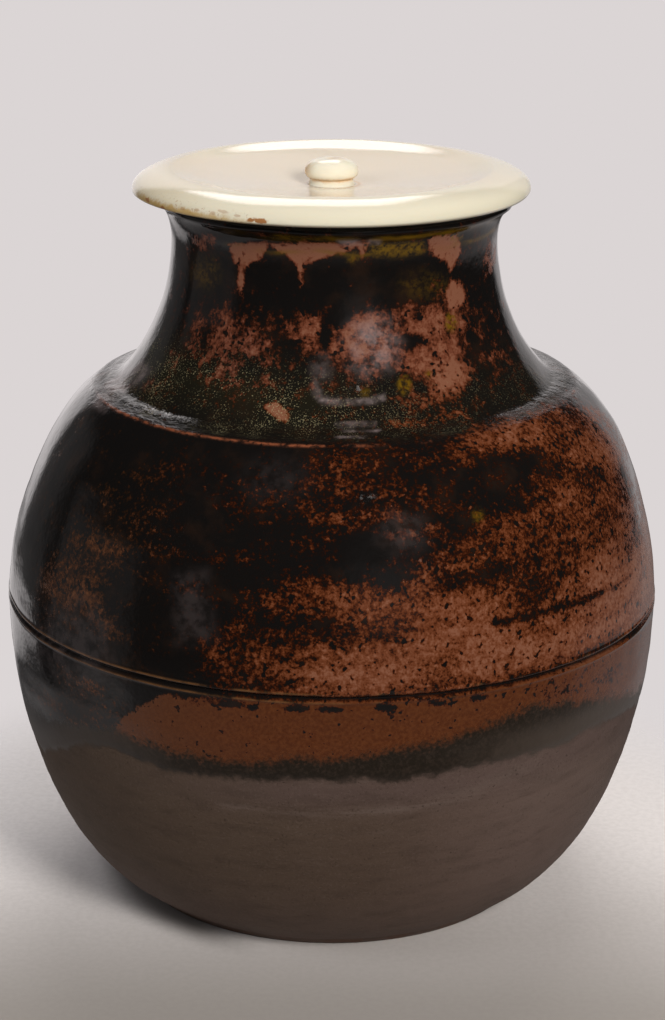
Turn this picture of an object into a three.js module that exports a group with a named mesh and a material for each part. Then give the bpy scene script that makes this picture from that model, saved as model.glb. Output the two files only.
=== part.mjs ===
// Chaire: a thrown stoneware tea caddy closed by a turned ivory lid.
// Millimetres, +Z up. The origin is the centre of the foot, on the surface that it stands on.
import * as THREE from 'three';

// Jar foot: a flat disc cut from the wheel, with a trimmed bevel round its edge
const footRadius = 25;
const footBevelWidth = 1.06;
const footBevelHeight = 0.97;

// Jar wall, measured on its outside: belly, shoulder and neck
const bellyRadius = 40;
const bellyHeight = 36.7;
const shoulderRise = 27.6;
const neckSpread = 7.05;
const neckRise = 16.75;

// Thickness of the clay: floor, belly and neck
const floorThickness = 4.5;
const bellyWall = 3;
const neckWall = 2.2;

// Mouth: the bore of the neck, and the rim that is turned outwards above it
const boreRadius = 17.35;
const lipRise = 5.55;
const lipOverhang = 1.65;
const lipFlare = 0.6;
const lipOuterRound = 1;
const lipInnerRound = 0.8;

// Line cut round the belly, with the clay pushed up along both of its edges
const cutLineAboveBelly = 0.9;
const cutLineWidth = 1.6;
const cutLineDepth = 0.35;

// Low ridge round the shoulder, outside the gutter at the root of the neck
const ridgeBeforeNeck = 2.75;
const ridgeWidth = 2;
const ridgeHeight = 0.3;

// Lid plate: a dished disc with a broad rolled rim, which seats on the lip
const lidOverhang = 2.5;
const lidRimHeight = 2.8;
const lidCrestInset = 4;
const lidUnderRoundWidth = 1.8;
const lidUnderRoundHeight = 0.6;
const lidDishWidth = 6.5;
const lidDishHeight = 0.8;

// Ring under the lid that centres it in the bore, and the recess inside the ring
const lidRingClearance = 0.7;
const lidRingDepth = 2.6;
const lidRingWall = 2;
const lidRingRound = 0.4;
const lidRecessDepth = 1.6;

// Gold leaf on paper, pasted into the recess
const leafThickness = 0.2;
const leafClearance = 0.15;
const leafEdgeSetback = 0.4;

// Knob: a bun on a flared foot, pegged through the plate
const knobFootRadius = 2.85;
const knobWaistRadius = 2.6;
const knobWaistHeight = 0.6;
const knobBunRadius = 3.2;
const knobUnderHeight = 1;
const knobCrownHeight = 1.55;
const pegRadius = 1.4;
const pegClearance = 0.15;
const pegEndGap = 0.2;

// Handles of the curves, as shares of each curve's span: across and up, at its start and its end
const lowerWallShares = [[0.698, 0.159], [0, 0.361]];
const upperWallShares = [[0, 0.355], [0.584, 0.029]];
const neckShares = [[0.163, 0.007], [0, 0.574]];
const lipShares = [[0, 0.92], [0, 0.1]];
const boreShares = [[0, 0.5], [0, 0.3]];
const bowlShares = [[0.85, 0], [0, 0.6]];
const rimShares = [[0, 0.79], [0.735, 0]];
const dishShares = [[0.25, 0], [0.35, 0]];
const knobFootShares = [[0.7, 0.3], [0, 0.4]];
const knobCrownShares = [[0, 0.66], [0.6, 0]];

// Sections of the two lines on the wall: place across the line, and rise off the wall
const cutLineSectionShares = [[-1, 0], [-0.6, 0.35], [-0.2, -1], [0.2, -1], [0.6, 0.35], [1, 0]];
const ridgeSectionShares = [[-1, 0], [-0.3, 0.9], [0.05, 1], [0.5, -0.4], [1, 0]];

// Facets
const jarSegments = 64;
const lidSegments = 64;
const knobSegments = 32;
const lowerWallSteps = 8;
const upperWallSteps = 11;
const neckSteps = 7;
const lipSteps = 7;
const boreSteps = 2;
const innerNeckSteps = 5;
const innerShoulderSteps = 7;
const bowlSteps = 8;
const roundSteps = 3;
const rimUnderSteps = 5;
const rimOverSteps = 8;
const dishSteps = 8;
const knobFootSteps = 3;
const knobBunSteps = 6;

// Radii and heights that follow from the sizes above
const neckRadius = boreRadius + neckWall;
const neckRootRadius = neckRadius + neckSpread;
const neckRootHeight = bellyHeight + shoulderRise;
const neckHeight = neckRootHeight + neckRise;
const mouthHeight = neckHeight + lipRise;
const lipRadius = neckRadius + lipOverhang;
const mouthRadius = boreRadius + lipFlare;
const lidRadius = lipRadius + lidOverhang;
const lidRingRadius = boreRadius - lidRingClearance;
const recessRadius = lidRingRadius - lidRingWall;
const recessHeight = lidRecessDepth - lidRingDepth;
const pegHoleRadius = pegRadius + pegClearance;
const pegLength = lidDishHeight - recessHeight - pegEndGap;

function point(radius, height) {
  return new THREE.Vector2(radius, height);
}

// A curve between two points of a profile, bent by handles that are shares of its span
function bend(start, end, [startShares, endShares]) {
  const span = end.clone().sub(start);
  const startHandle = point(start.x + span.x * startShares[0], start.y + span.y * startShares[1]);
  const endHandle = point(end.x - span.x * endShares[0], end.y - span.y * endShares[1]);
  return new THREE.CubicBezierCurve(start, startHandle, endHandle, end);
}

// A quarter of an ellipse, from one of its axes to the next
function quarter(centre, acrossRadius, upRadius, startAngle, endAngle, steps) {
  const clockwise = endAngle < startAngle;
  const arc = new THREE.EllipseCurve(
    centre.x, centre.y, acrossRadius, upRadius, startAngle, endAngle, clockwise,
  );
  return arc.getPoints(steps);
}

// The point of a wall curve at a distance along it, moved off the wall to its outer side
function pointOffWall(curve, distance, rise) {
  const along = curve.getUtoTmapping(0, distance);
  const place = curve.getPoint(along);
  const tangent = curve.getTangent(along);
  return point(place.x + tangent.y * rise, place.y - tangent.x * rise);
}

// A wall curve as points, with the sections of the lines on it worked in
function wallWithLines(curve, steps, lines) {
  const length = curve.getLength();
  const stations = [];
  for (let step = 0; step <= steps; step += 1) {
    const distance = length * step / steps;
    const isOnLine = lines.some((line) => Math.abs(distance - line.centre) <= line.halfWidth);
    if (!isOnLine) {
      stations.push({ distance, rise: 0 });
    }
  }
  for (const line of lines) {
    for (const [placeShare, riseShare] of line.sectionShares) {
      const distance = line.centre + placeShare * line.halfWidth;
      stations.push({ distance, rise: riseShare * line.height });
    }
  }
  stations.sort((first, second) => first.distance - second.distance);
  return stations.map((station) => pointOffWall(curve, station.distance, station.rise));
}

// The inner face of a wall curve, whose thickness runs evenly from one end to the other
function innerFace(curve, steps, startWall, endWall) {
  const length = curve.getLength();
  const points = [];
  for (let step = 0; step <= steps; step += 1) {
    const wall = startWall + (endWall - startWall) * step / steps;
    points.push(pointOffWall(curve, length * step / steps, -wall));
  }
  return points;
}

// A profile of radii and heights, revolved round the Z axis
function revolve(profile, segments) {
  return new THREE.LatheGeometry(profile, segments).rotateX(Math.PI / 2);
}

function mesh(name, geometry, colour, roughness, metalness) {
  const material = new THREE.MeshStandardMaterial({ color: colour, roughness, metalness });
  const piece = new THREE.Mesh(geometry, material);
  piece.name = name;
  return piece;
}

// The four curves of the jar's outer wall, from the foot to the edge of the lip
function outerWall() {
  const bevelTop = point(footRadius + footBevelWidth, footBevelHeight);
  const belly = point(bellyRadius, bellyHeight);
  const neckRoot = point(neckRootRadius, neckRootHeight);
  const neckWaist = point(neckRadius, neckHeight);
  const lipEdge = point(lipRadius, mouthHeight - lipOuterRound);
  return {
    lower: bend(bevelTop, belly, lowerWallShares),
    upper: bend(belly, neckRoot, upperWallShares),
    neck: bend(neckRoot, neckWaist, neckShares),
    lip: bend(neckWaist, lipEdge, lipShares),
  };
}

// The cut line lies just above the belly, and the ridge just before the wall turns up into the neck
function upperWallLines(upper) {
  const cutLine = {
    centre: cutLineAboveBelly,
    halfWidth: cutLineWidth / 2,
    height: cutLineDepth,
    sectionShares: cutLineSectionShares,
  };
  const ridge = {
    centre: upper.getLength() - ridgeBeforeNeck,
    halfWidth: ridgeWidth / 2,
    height: ridgeHeight,
    sectionShares: ridgeSectionShares,
  };
  return [cutLine, ridge];
}

function outsideOfJar({ lower, upper, neck, lip }) {
  return [
    point(0, 0),
    point(footRadius, 0),
    ...lower.getSpacedPoints(lowerWallSteps),
    ...wallWithLines(upper, upperWallSteps, upperWallLines(upper)).slice(1),
    ...neck.getSpacedPoints(neckSteps).slice(1),
    ...lip.getSpacedPoints(lipSteps).slice(1),
  ];
}

// Over the lip: its outer round, the flat land that the lid rests on, and its inner round
function lipOver() {
  const outerCentre = point(lipRadius - lipOuterRound, mouthHeight - lipOuterRound);
  const innerCentre = point(mouthRadius + lipInnerRound, mouthHeight - lipInnerRound);
  const outer = quarter(outerCentre, lipOuterRound, lipOuterRound, 0, Math.PI / 2, roundSteps);
  const inner = quarter(innerCentre, lipInnerRound, lipInnerRound, Math.PI / 2, Math.PI, roundSteps);
  outer[roundSteps].y = mouthHeight;
  inner[0].y = mouthHeight;
  return [...outer.slice(1), ...inner];
}

// Down the inside: the bore, the neck, the shoulder and the rounded bowl of the floor
function insideOfJar({ upper, neck }) {
  const mouth = point(mouthRadius, mouthHeight - lipInnerRound);
  const bore = bend(mouth, point(boreRadius, neckHeight), boreShares);
  const innerNeck = innerFace(neck, innerNeckSteps, neckWall, neckWall).reverse();
  const innerShoulder = innerFace(upper, innerShoulderSteps, bellyWall, neckWall).reverse();
  const innerBelly = point(bellyRadius - bellyWall, bellyHeight);
  const bowl = bend(point(0, floorThickness), innerBelly, bowlShares);
  return [
    ...bore.getPoints(boreSteps).slice(1, -1),
    ...innerNeck,
    ...innerShoulder,
    ...bowl.getSpacedPoints(bowlSteps).reverse().slice(1),
  ];
}

function jarBody() {
  const wall = outerWall();
  const profile = [...outsideOfJar(wall), ...lipOver(), ...insideOfJar(wall)];
  return mesh('jar_body', revolve(profile, jarSegments), 0x2c1a13, 0.25, 0);
}

// The underside of the plate from the peg's hole outwards: recess, centring ring and seat
function underLid() {
  const roundCentre = point(lidRingRadius - lidRingRound, lidRingRound - lidRingDepth);
  return [
    point(pegHoleRadius, recessHeight),
    point(recessRadius, recessHeight),
    point(recessRadius, -lidRingDepth),
    ...quarter(roundCentre, lidRingRound, lidRingRound, -Math.PI / 2, 0, roundSteps),
    point(lidRingRadius, 0),
  ];
}

// The rolled rim, from the edge of the seat round the widest ring and gently over to the crest
function lidRim() {
  const underCentre = point(lidRadius - lidUnderRoundWidth, lidUnderRoundHeight);
  const under = quarter(
    underCentre, lidUnderRoundWidth, lidUnderRoundHeight, -Math.PI / 2, 0, rimUnderSteps,
  );
  const widest = point(lidRadius, lidUnderRoundHeight);
  const crest = point(lidRadius - lidCrestInset, lidRimHeight);
  under[0].y = 0;
  return [...under, ...bend(widest, crest, rimShares).getPoints(rimOverSteps).slice(1)];
}

// The dish, from the crest down to its flat floor, which carries the knob
function lidDish() {
  const crest = point(lidRadius - lidCrestInset, lidRimHeight);
  const floorEdge = point(crest.x - lidDishWidth, lidDishHeight);
  return [
    ...bend(crest, floorEdge, dishShares).getPoints(dishSteps).slice(1),
    point(pegHoleRadius, lidDishHeight),
  ];
}

function lidPlate() {
  const start = point(pegHoleRadius, recessHeight);
  const profile = [...underLid(), ...lidRim(), ...lidDish(), start];
  return mesh('lid_plate', revolve(profile, lidSegments), 0xe8dcc4, 0.3, 0);
}

// The knob from the end of its peg up: flared foot, undercut and domed bun
function lidKnob() {
  const foot = point(knobFootRadius, 0);
  const waist = point(knobWaistRadius, knobWaistHeight);
  const bunHeight = knobWaistHeight + knobUnderHeight;
  const underCentre = point(knobWaistRadius, bunHeight);
  const underWidth = knobBunRadius - knobWaistRadius;
  const widest = point(knobBunRadius, bunHeight);
  const top = point(0, bunHeight + knobCrownHeight);
  const profile = [
    point(0, -pegLength),
    point(pegRadius, -pegLength),
    point(pegRadius, 0),
    ...bend(foot, waist, knobFootShares).getPoints(knobFootSteps),
    ...quarter(underCentre, underWidth, knobUnderHeight, -Math.PI / 2, 0, roundSteps).slice(1),
    ...bend(widest, top, knobCrownShares).getPoints(knobBunSteps).slice(1),
  ];
  return mesh('lid_knob', revolve(profile, knobSegments), 0xead9b8, 0.3, 0);
}

// A shallow cup of leaf: its disc lies on the ceiling of the recess, its skirt inside the ring
function lidGoldLeaf() {
  const leafRadius = recessRadius - leafClearance;
  const skirtRadius = leafRadius - leafThickness;
  const skirtHeight = leafEdgeSetback - lidRingDepth;
  const profile = [
    point(0, recessHeight - leafThickness),
    point(skirtRadius, recessHeight - leafThickness),
    point(skirtRadius, skirtHeight),
    point(leafRadius, skirtHeight),
    point(leafRadius, recessHeight),
    point(0, recessHeight),
  ];
  return mesh('lid_gold_leaf', revolve(profile, lidSegments), 0xc9a24a, 0.35, 0.9);
}

// The lid's own frame has its zero on the seat, which rests on the land of the lip
function lid() {
  const group = new THREE.Group();
  const knob = lidKnob();
  knob.position.z = lidDishHeight;
  group.add(lidPlate(), knob, lidGoldLeaf());
  group.position.z = mouthHeight;
  return group;
}

const chaire = new THREE.Group();
chaire.add(jarBody(), lid());

export default chaire;
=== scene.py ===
# Looks of the chaire: a thrown, half-glazed stoneware jar with a turned ivory lid.
# Sizes are millimetres in the jar's frame and become metres where a mesh is made.
# Angles run round the jar's axis from the side that faces the camera, positive to its right.
import math

import bmesh
import bpy
import numpy as np
from mathutils import Matrix, Vector


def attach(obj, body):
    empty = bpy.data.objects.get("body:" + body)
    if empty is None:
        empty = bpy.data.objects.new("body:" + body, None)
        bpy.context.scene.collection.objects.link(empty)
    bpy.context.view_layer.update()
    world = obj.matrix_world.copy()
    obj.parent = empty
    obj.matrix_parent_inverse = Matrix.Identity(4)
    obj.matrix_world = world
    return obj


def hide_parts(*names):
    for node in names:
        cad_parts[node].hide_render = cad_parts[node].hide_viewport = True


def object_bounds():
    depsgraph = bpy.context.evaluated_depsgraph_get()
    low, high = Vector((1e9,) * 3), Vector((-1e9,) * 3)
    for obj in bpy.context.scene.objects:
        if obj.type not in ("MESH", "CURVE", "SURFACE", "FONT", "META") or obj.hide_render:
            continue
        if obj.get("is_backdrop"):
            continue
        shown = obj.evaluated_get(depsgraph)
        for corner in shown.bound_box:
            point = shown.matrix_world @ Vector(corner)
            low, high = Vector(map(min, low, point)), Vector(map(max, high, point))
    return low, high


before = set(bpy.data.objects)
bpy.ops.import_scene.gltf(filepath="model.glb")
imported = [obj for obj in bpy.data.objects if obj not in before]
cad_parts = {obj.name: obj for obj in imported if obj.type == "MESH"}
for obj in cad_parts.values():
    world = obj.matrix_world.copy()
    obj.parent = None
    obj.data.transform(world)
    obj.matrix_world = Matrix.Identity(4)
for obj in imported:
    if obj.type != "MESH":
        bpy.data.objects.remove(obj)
CAD_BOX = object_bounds()
MM = 0.001
CIRCLE = 2 * np.pi
TINY = 1e-9
SAME_PLACE = 1e-6

# Photograph's view: distance, elevation and roll of the camera, and its focal length in pixels
FRAME_WIDTH = 665
FRAME_HEIGHT = 1020
CAMERA_DISTANCE = 316.3
CAMERA_ELEVATION = math.radians(17.83)
CAMERA_ROLL = math.radians(0.482)
CAMERA_FOCUS = 2553.8
TARGET_HEIGHT = 46.62
CAMERA_PLACE = (0, -CAMERA_DISTANCE * math.cos(CAMERA_ELEVATION),
                TARGET_HEIGHT + CAMERA_DISTANCE * math.sin(CAMERA_ELEVATION))
SENSOR_LENGTH = 36.0
CLIP_START = 10.0

# Jar: foot, belly, shoulder, neck and lip
FOOT_RADIUS = 25.0
BEVEL_WIDTH = 1.06
BEVEL_HEIGHT = 0.97
BELLY_RADIUS = 40.0
BELLY_HEIGHT = 36.7
NECK_ROOT_RADIUS = 26.6
NECK_ROOT_HEIGHT = 64.3
NECK_RADIUS = 19.55
NECK_HEIGHT = 81.05
LIP_RADIUS = 21.2
MOUTH_HEIGHT = 86.6
LIP_OUTER_ROUND = 1.0
LIP_INNER_ROUND = 0.8
MOUTH_RADIUS = 17.95
BORE_RADIUS = 17.35
FLOOR_THICKNESS = 4.5
BELLY_WALL = 3.0
NECK_WALL = 2.2

# Handles of the curves, as shares of their spans: across and up, at the start and at the end
LOWER_WALL_SHARES = ((0.698, 0.159), (0, 0.361))
UPPER_WALL_SHARES = ((0, 0.355), (0.584, 0.029))
NECK_SHARES = ((0.163, 0.007), (0, 0.574))
LIP_SHARES = ((0, 0.92), (0, 0.1))
BORE_SHARES = ((0, 0.5), (0, 0.3))
BOWL_SHARES = ((0.85, 0), (0, 0.6))

# Lines worked into the wall
CUT_LINE_ABOVE_BELLY = 0.9
RIDGE_BEFORE_NECK = 2.75

# Lid plate and knob, whose zero height is the seat
LID_RADIUS = 23.7
LID_RIM_HEIGHT = 2.86
LID_CREST_INSET = 4.6
LID_UNDER_WIDTH = 1.8
LID_UNDER_HEIGHT = 0.6
LID_SLOPE_RADIUS = 16.1
LID_SLOPE_HEIGHT = 2.24
LID_DISH_HEIGHT = 0.8
LID_RING_RADIUS = 16.65
LID_RING_DEPTH = 2.6
LID_RING_ROUND = 0.4
LID_RECESS_RADIUS = 14.65
LID_RECESS_HEIGHT = -1.0
PEG_HOLE_RADIUS = 1.55
KNOB_FOOT_RADIUS = 2.85
KNOB_WAIST_RADIUS = 2.6
KNOB_WAIST_HEIGHT = 0.8
KNOB_BUN_RADIUS = 3.2
KNOB_UNDER_HEIGHT = 0.8
KNOB_CROWN_HEIGHT = 1.55
KNOB_SEAT_RADIUS = 3.4
PEG_RADIUS = 1.4
PEG_LENGTH = 1.6
LEAF_RADIUS = 14.5
LEAF_THICKNESS = 0.2
LEAF_SKIRT_HEIGHT = -2.2
RIM_SHARES = ((0, 0.75), (0.2, 0))
SLOPE_SHARES = ((0.12, 0), (0.3, 0.225))
DISH_SHARES = ((0.2, 0.273), (0.33, 0.28))
KNOB_FOOT_SHARES = ((0.7, 0.3), (0, 0.4))
KNOB_CROWN_SHARES = ((0, 0.66), (0.6, 0))


# Noise

class Noise:
    """Smooth noise in space, about -1 to 1, from a seeded table of gradients."""
    TABLE = 256
    GAIN = 1.6

    def __init__(self, seed):
        draw = np.random.RandomState(seed)
        self.order = np.tile(draw.permutation(self.TABLE), 3)
        slopes = draw.normal(size=(self.TABLE, 3))
        self.slopes = slopes / np.linalg.norm(slopes, axis=1)[:, None]

    def __call__(self, x, y, z, size):
        x, y, z = np.broadcast_arrays(x, y, z)
        place = np.stack([x.ravel(), y.ravel(), z.ravel()], -1) / size
        cell = np.floor(place).astype(int)
        local = place - cell
        ease = local ** 3 * (local * (local * 6 - 15) + 10)
        total = np.zeros(len(place))
        for corner in np.ndindex(2, 2, 2):
            first, second, third = ((cell + corner) % self.TABLE).T
            row = self.order[self.order[first] + second] + third
            slope = self.slopes[self.order[row]]
            weight = np.prod(np.where(np.equal(corner, 1), ease, 1 - ease), axis=1)
            total += weight * np.sum(slope * (local - corner), axis=1)
        return (total * self.GAIN).reshape(x.shape)


def smoothstep(low, high, value):
    share = np.clip((value - low) / (high - low), 0, 1)
    return share * share * (3 - 2 * share)


def hump(value, width, at=0.0):
    return np.exp(-((value - at) / width) ** 2)


# Profiles: rows of radius and height

def bend(start, end, shares, steps):
    """Curve whose handles are shares of its span, as in the CAD source."""
    start, end = np.array(start, float), np.array(end, float)
    span = end - start
    first = start + span * shares[0]
    second = end - span * shares[1]
    t = np.linspace(0, 1, steps + 1)[:, None]
    return ((1 - t) ** 3 * start + 3 * (1 - t) ** 2 * t * first
            + 3 * (1 - t) * t ** 2 * second + t ** 3 * end)


def quarter(centre, across, up, start, steps):
    """Quarter of an oval from an angle in degrees on."""
    angle = np.radians(np.linspace(start, start + 90, steps + 1))
    return np.stack([centre[0] + across * np.cos(angle), centre[1] + up * np.sin(angle)], -1)


def join(*parts):
    """Runs of points in one, without a point that repeats the one before it."""
    points = np.concatenate(parts)
    step = np.linalg.norm(np.diff(points, axis=0), axis=1)
    return points[np.concatenate([[True], step > SAME_PLACE])]


def path(start, *legs):
    """Straight legs, each given as its steps and the radius and height where it ends."""
    runs = []
    for steps, *end in legs:
        runs.append(np.linspace(start, end, steps + 1))
        start = end
    return join(*runs)


def lengths(points):
    return np.concatenate([[0], np.cumsum(np.linalg.norm(np.diff(points, axis=0), axis=1))])


def resample(points, marks):
    run = lengths(points)
    return np.stack([np.interp(marks, run, points[:, 0]), np.interp(marks, run, points[:, 1])], -1)


def normals(points):
    """Normals to the right of the way along the points: outwards, up the wall."""
    way = np.gradient(points, axis=0)
    way /= np.maximum(np.linalg.norm(way, axis=1), TINY)[:, None]
    return np.stack([way[:, 1], -way[:, 0]], -1)


def offset_inwards(points, start_wall, end_wall):
    share = lengths(points) / lengths(points)[-1]
    wall = start_wall + (end_wall - start_wall) * share
    return points - normals(points) * wall[:, None]


# Outer wall, in runs of length up it from the top of the bevel
FINE = 200
BEVEL_TOP = (FOOT_RADIUS + BEVEL_WIDTH, BEVEL_HEIGHT)
BELLY = (BELLY_RADIUS, BELLY_HEIGHT)
NECK_ROOT = (NECK_ROOT_RADIUS, NECK_ROOT_HEIGHT)
NECK_WAIST = (NECK_RADIUS, NECK_HEIGHT)
LIP_EDGE = (LIP_RADIUS, MOUTH_HEIGHT - LIP_OUTER_ROUND)
LOWER_WALL = bend(BEVEL_TOP, BELLY, LOWER_WALL_SHARES, FINE)
UPPER_WALL = bend(BELLY, NECK_ROOT, UPPER_WALL_SHARES, FINE)
NECK = bend(NECK_ROOT, NECK_WAIST, NECK_SHARES, FINE)
LIP = bend(NECK_WAIST, LIP_EDGE, LIP_SHARES, FINE)
WALL = join(LOWER_WALL, UPPER_WALL, NECK, LIP)
WALL_RUN = lengths(WALL)
CUT_LINE_RUN = lengths(LOWER_WALL)[-1] + CUT_LINE_ABOVE_BELLY
RIDGE_RUN = lengths(join(LOWER_WALL, UPPER_WALL))[-1] - RIDGE_BEFORE_NECK


def run_at(height):
    return np.interp(height, WALL[:, 1], WALL_RUN)


def radius_at(run):
    return np.interp(run, WALL_RUN, WALL[:, 0])


# From the photograph's pixels to the wall

# Part of a ray that is searched, before and beyond the camera's distance, and its step
RAY_BEFORE, RAY_BEYOND, RAY_STEP = 70, 30, 0.1
OVAL_STEP = 24


def pixel_ways(pixels):
    """Ways in which the camera sees the pixels."""
    across = pixels[:, 0] - FRAME_WIDTH / 2
    down = pixels[:, 1] - FRAME_HEIGHT / 2
    turn_cos, turn_sin = math.cos(CAMERA_ROLL), math.sin(CAMERA_ROLL)
    right = across * turn_cos + down * turn_sin
    up = across * turn_sin - down * turn_cos
    tilt_cos, tilt_sin = math.cos(CAMERA_ELEVATION), math.sin(CAMERA_ELEVATION)
    way = np.stack([right, CAMERA_FOCUS * tilt_cos + up * tilt_sin,
                    up * tilt_cos - CAMERA_FOCUS * tilt_sin], -1)
    return way / np.linalg.norm(way, axis=1)[:, None]


def on_wall(pixels):
    """Angle and run up the wall where each pixel's ray meets the jar or passes it closest."""
    way = pixel_ways(np.reshape(pixels, (-1, 2)))
    reach = np.arange(CAMERA_DISTANCE - RAY_BEFORE, CAMERA_DISTANCE + RAY_BEYOND, RAY_STEP)
    place = CAMERA_PLACE + way[:, None, :] * reach[None, :, None]
    gap = np.hypot(place[..., 0], place[..., 1]) - np.interp(place[..., 2], WALL[:, 1], WALL[:, 0])
    inside = gap < 0
    first = np.where(inside.any(1), inside.argmax(1), gap.argmin(1))
    hit = place[np.arange(len(way)), first]
    return np.stack([np.arctan2(hit[:, 0], -hit[:, 1]), run_at(hit[:, 2])], -1)


def oval(x, y, half_width, half_height, turn=0):
    """Outline round a middle point, turned by some degrees."""
    angle = np.radians(np.arange(0, 360, OVAL_STEP))
    across, up = half_width * np.cos(angle), half_height * np.sin(angle)
    turn = math.radians(turn)
    return np.stack([x + across * math.cos(turn) - up * math.sin(turn),
                     y + across * math.sin(turn) + up * math.cos(turn)], -1)


def inside_distance(outline, angle, run):
    """Distance from points of the wall to the edge of an outline on it, positive inside."""
    centre = outline.mean(0)
    radius = radius_at(centre[1])

    def flat(angles, runs):
        turn = (angles - centre[0] + np.pi) % CIRCLE - np.pi
        return np.stack([turn * radius, runs - centre[1]], -1)

    corners = flat(outline[:, 0], outline[:, 1])
    place = flat(angle, run)
    nearest = np.full(len(place), np.inf)
    inside = np.zeros(len(place), bool)
    for start, end in zip(corners, np.roll(corners, -1, 0)):
        side = end - start
        share = np.clip((place - start) @ side / max(side @ side, TINY), 0, 1)
        nearest = np.minimum(nearest, np.linalg.norm(place - start - share[:, None] * side, axis=1))
        crosses = (start[1] > place[:, 1]) != (end[1] > place[:, 1])
        rise = np.where(abs(side[1]) < TINY, TINY, side[1])
        inside ^= crosses & (place[:, 0] < start[0] + (place[:, 1] - start[1]) * side[0] / rise)
    return np.where(inside, nearest, -nearest)


# Glaze, as outlines in the photograph's pixels

# Lower edge of the glaze, and the edge where its brown coat thins to olive black
GLAZE_EDGE_PIXELS = (
    44,752, 60,750, 88,743, 118,749, 150,765, 185,775, 230,778, 290,779, 345,781, 411,779, 473,767,
    524,755, 565,743, 595,726, 626,711, 637,704)
BROWN_EDGE_PIXELS = (
    40,715, 75,724, 113,731, 153,744, 186,756, 217,762, 269,762, 300,759, 345,758, 391,752, 452,738,
    503,718, 534,706, 575,702, 601,698, 636,692)
# The same two edges round the hidden side: angle in degrees and height in mm
GLAZE_EDGE_BACK = (
    95,26, 115,29, 135,33, 160,31, 185,26, 205,24, 230,27, 255,25, 275,22)
BROWN_EDGE_BACK = (
    95,28, 115,32, 135,37, 160,36, 185,30, 205,27, 230,31, 255,30, 275,27)

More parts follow.
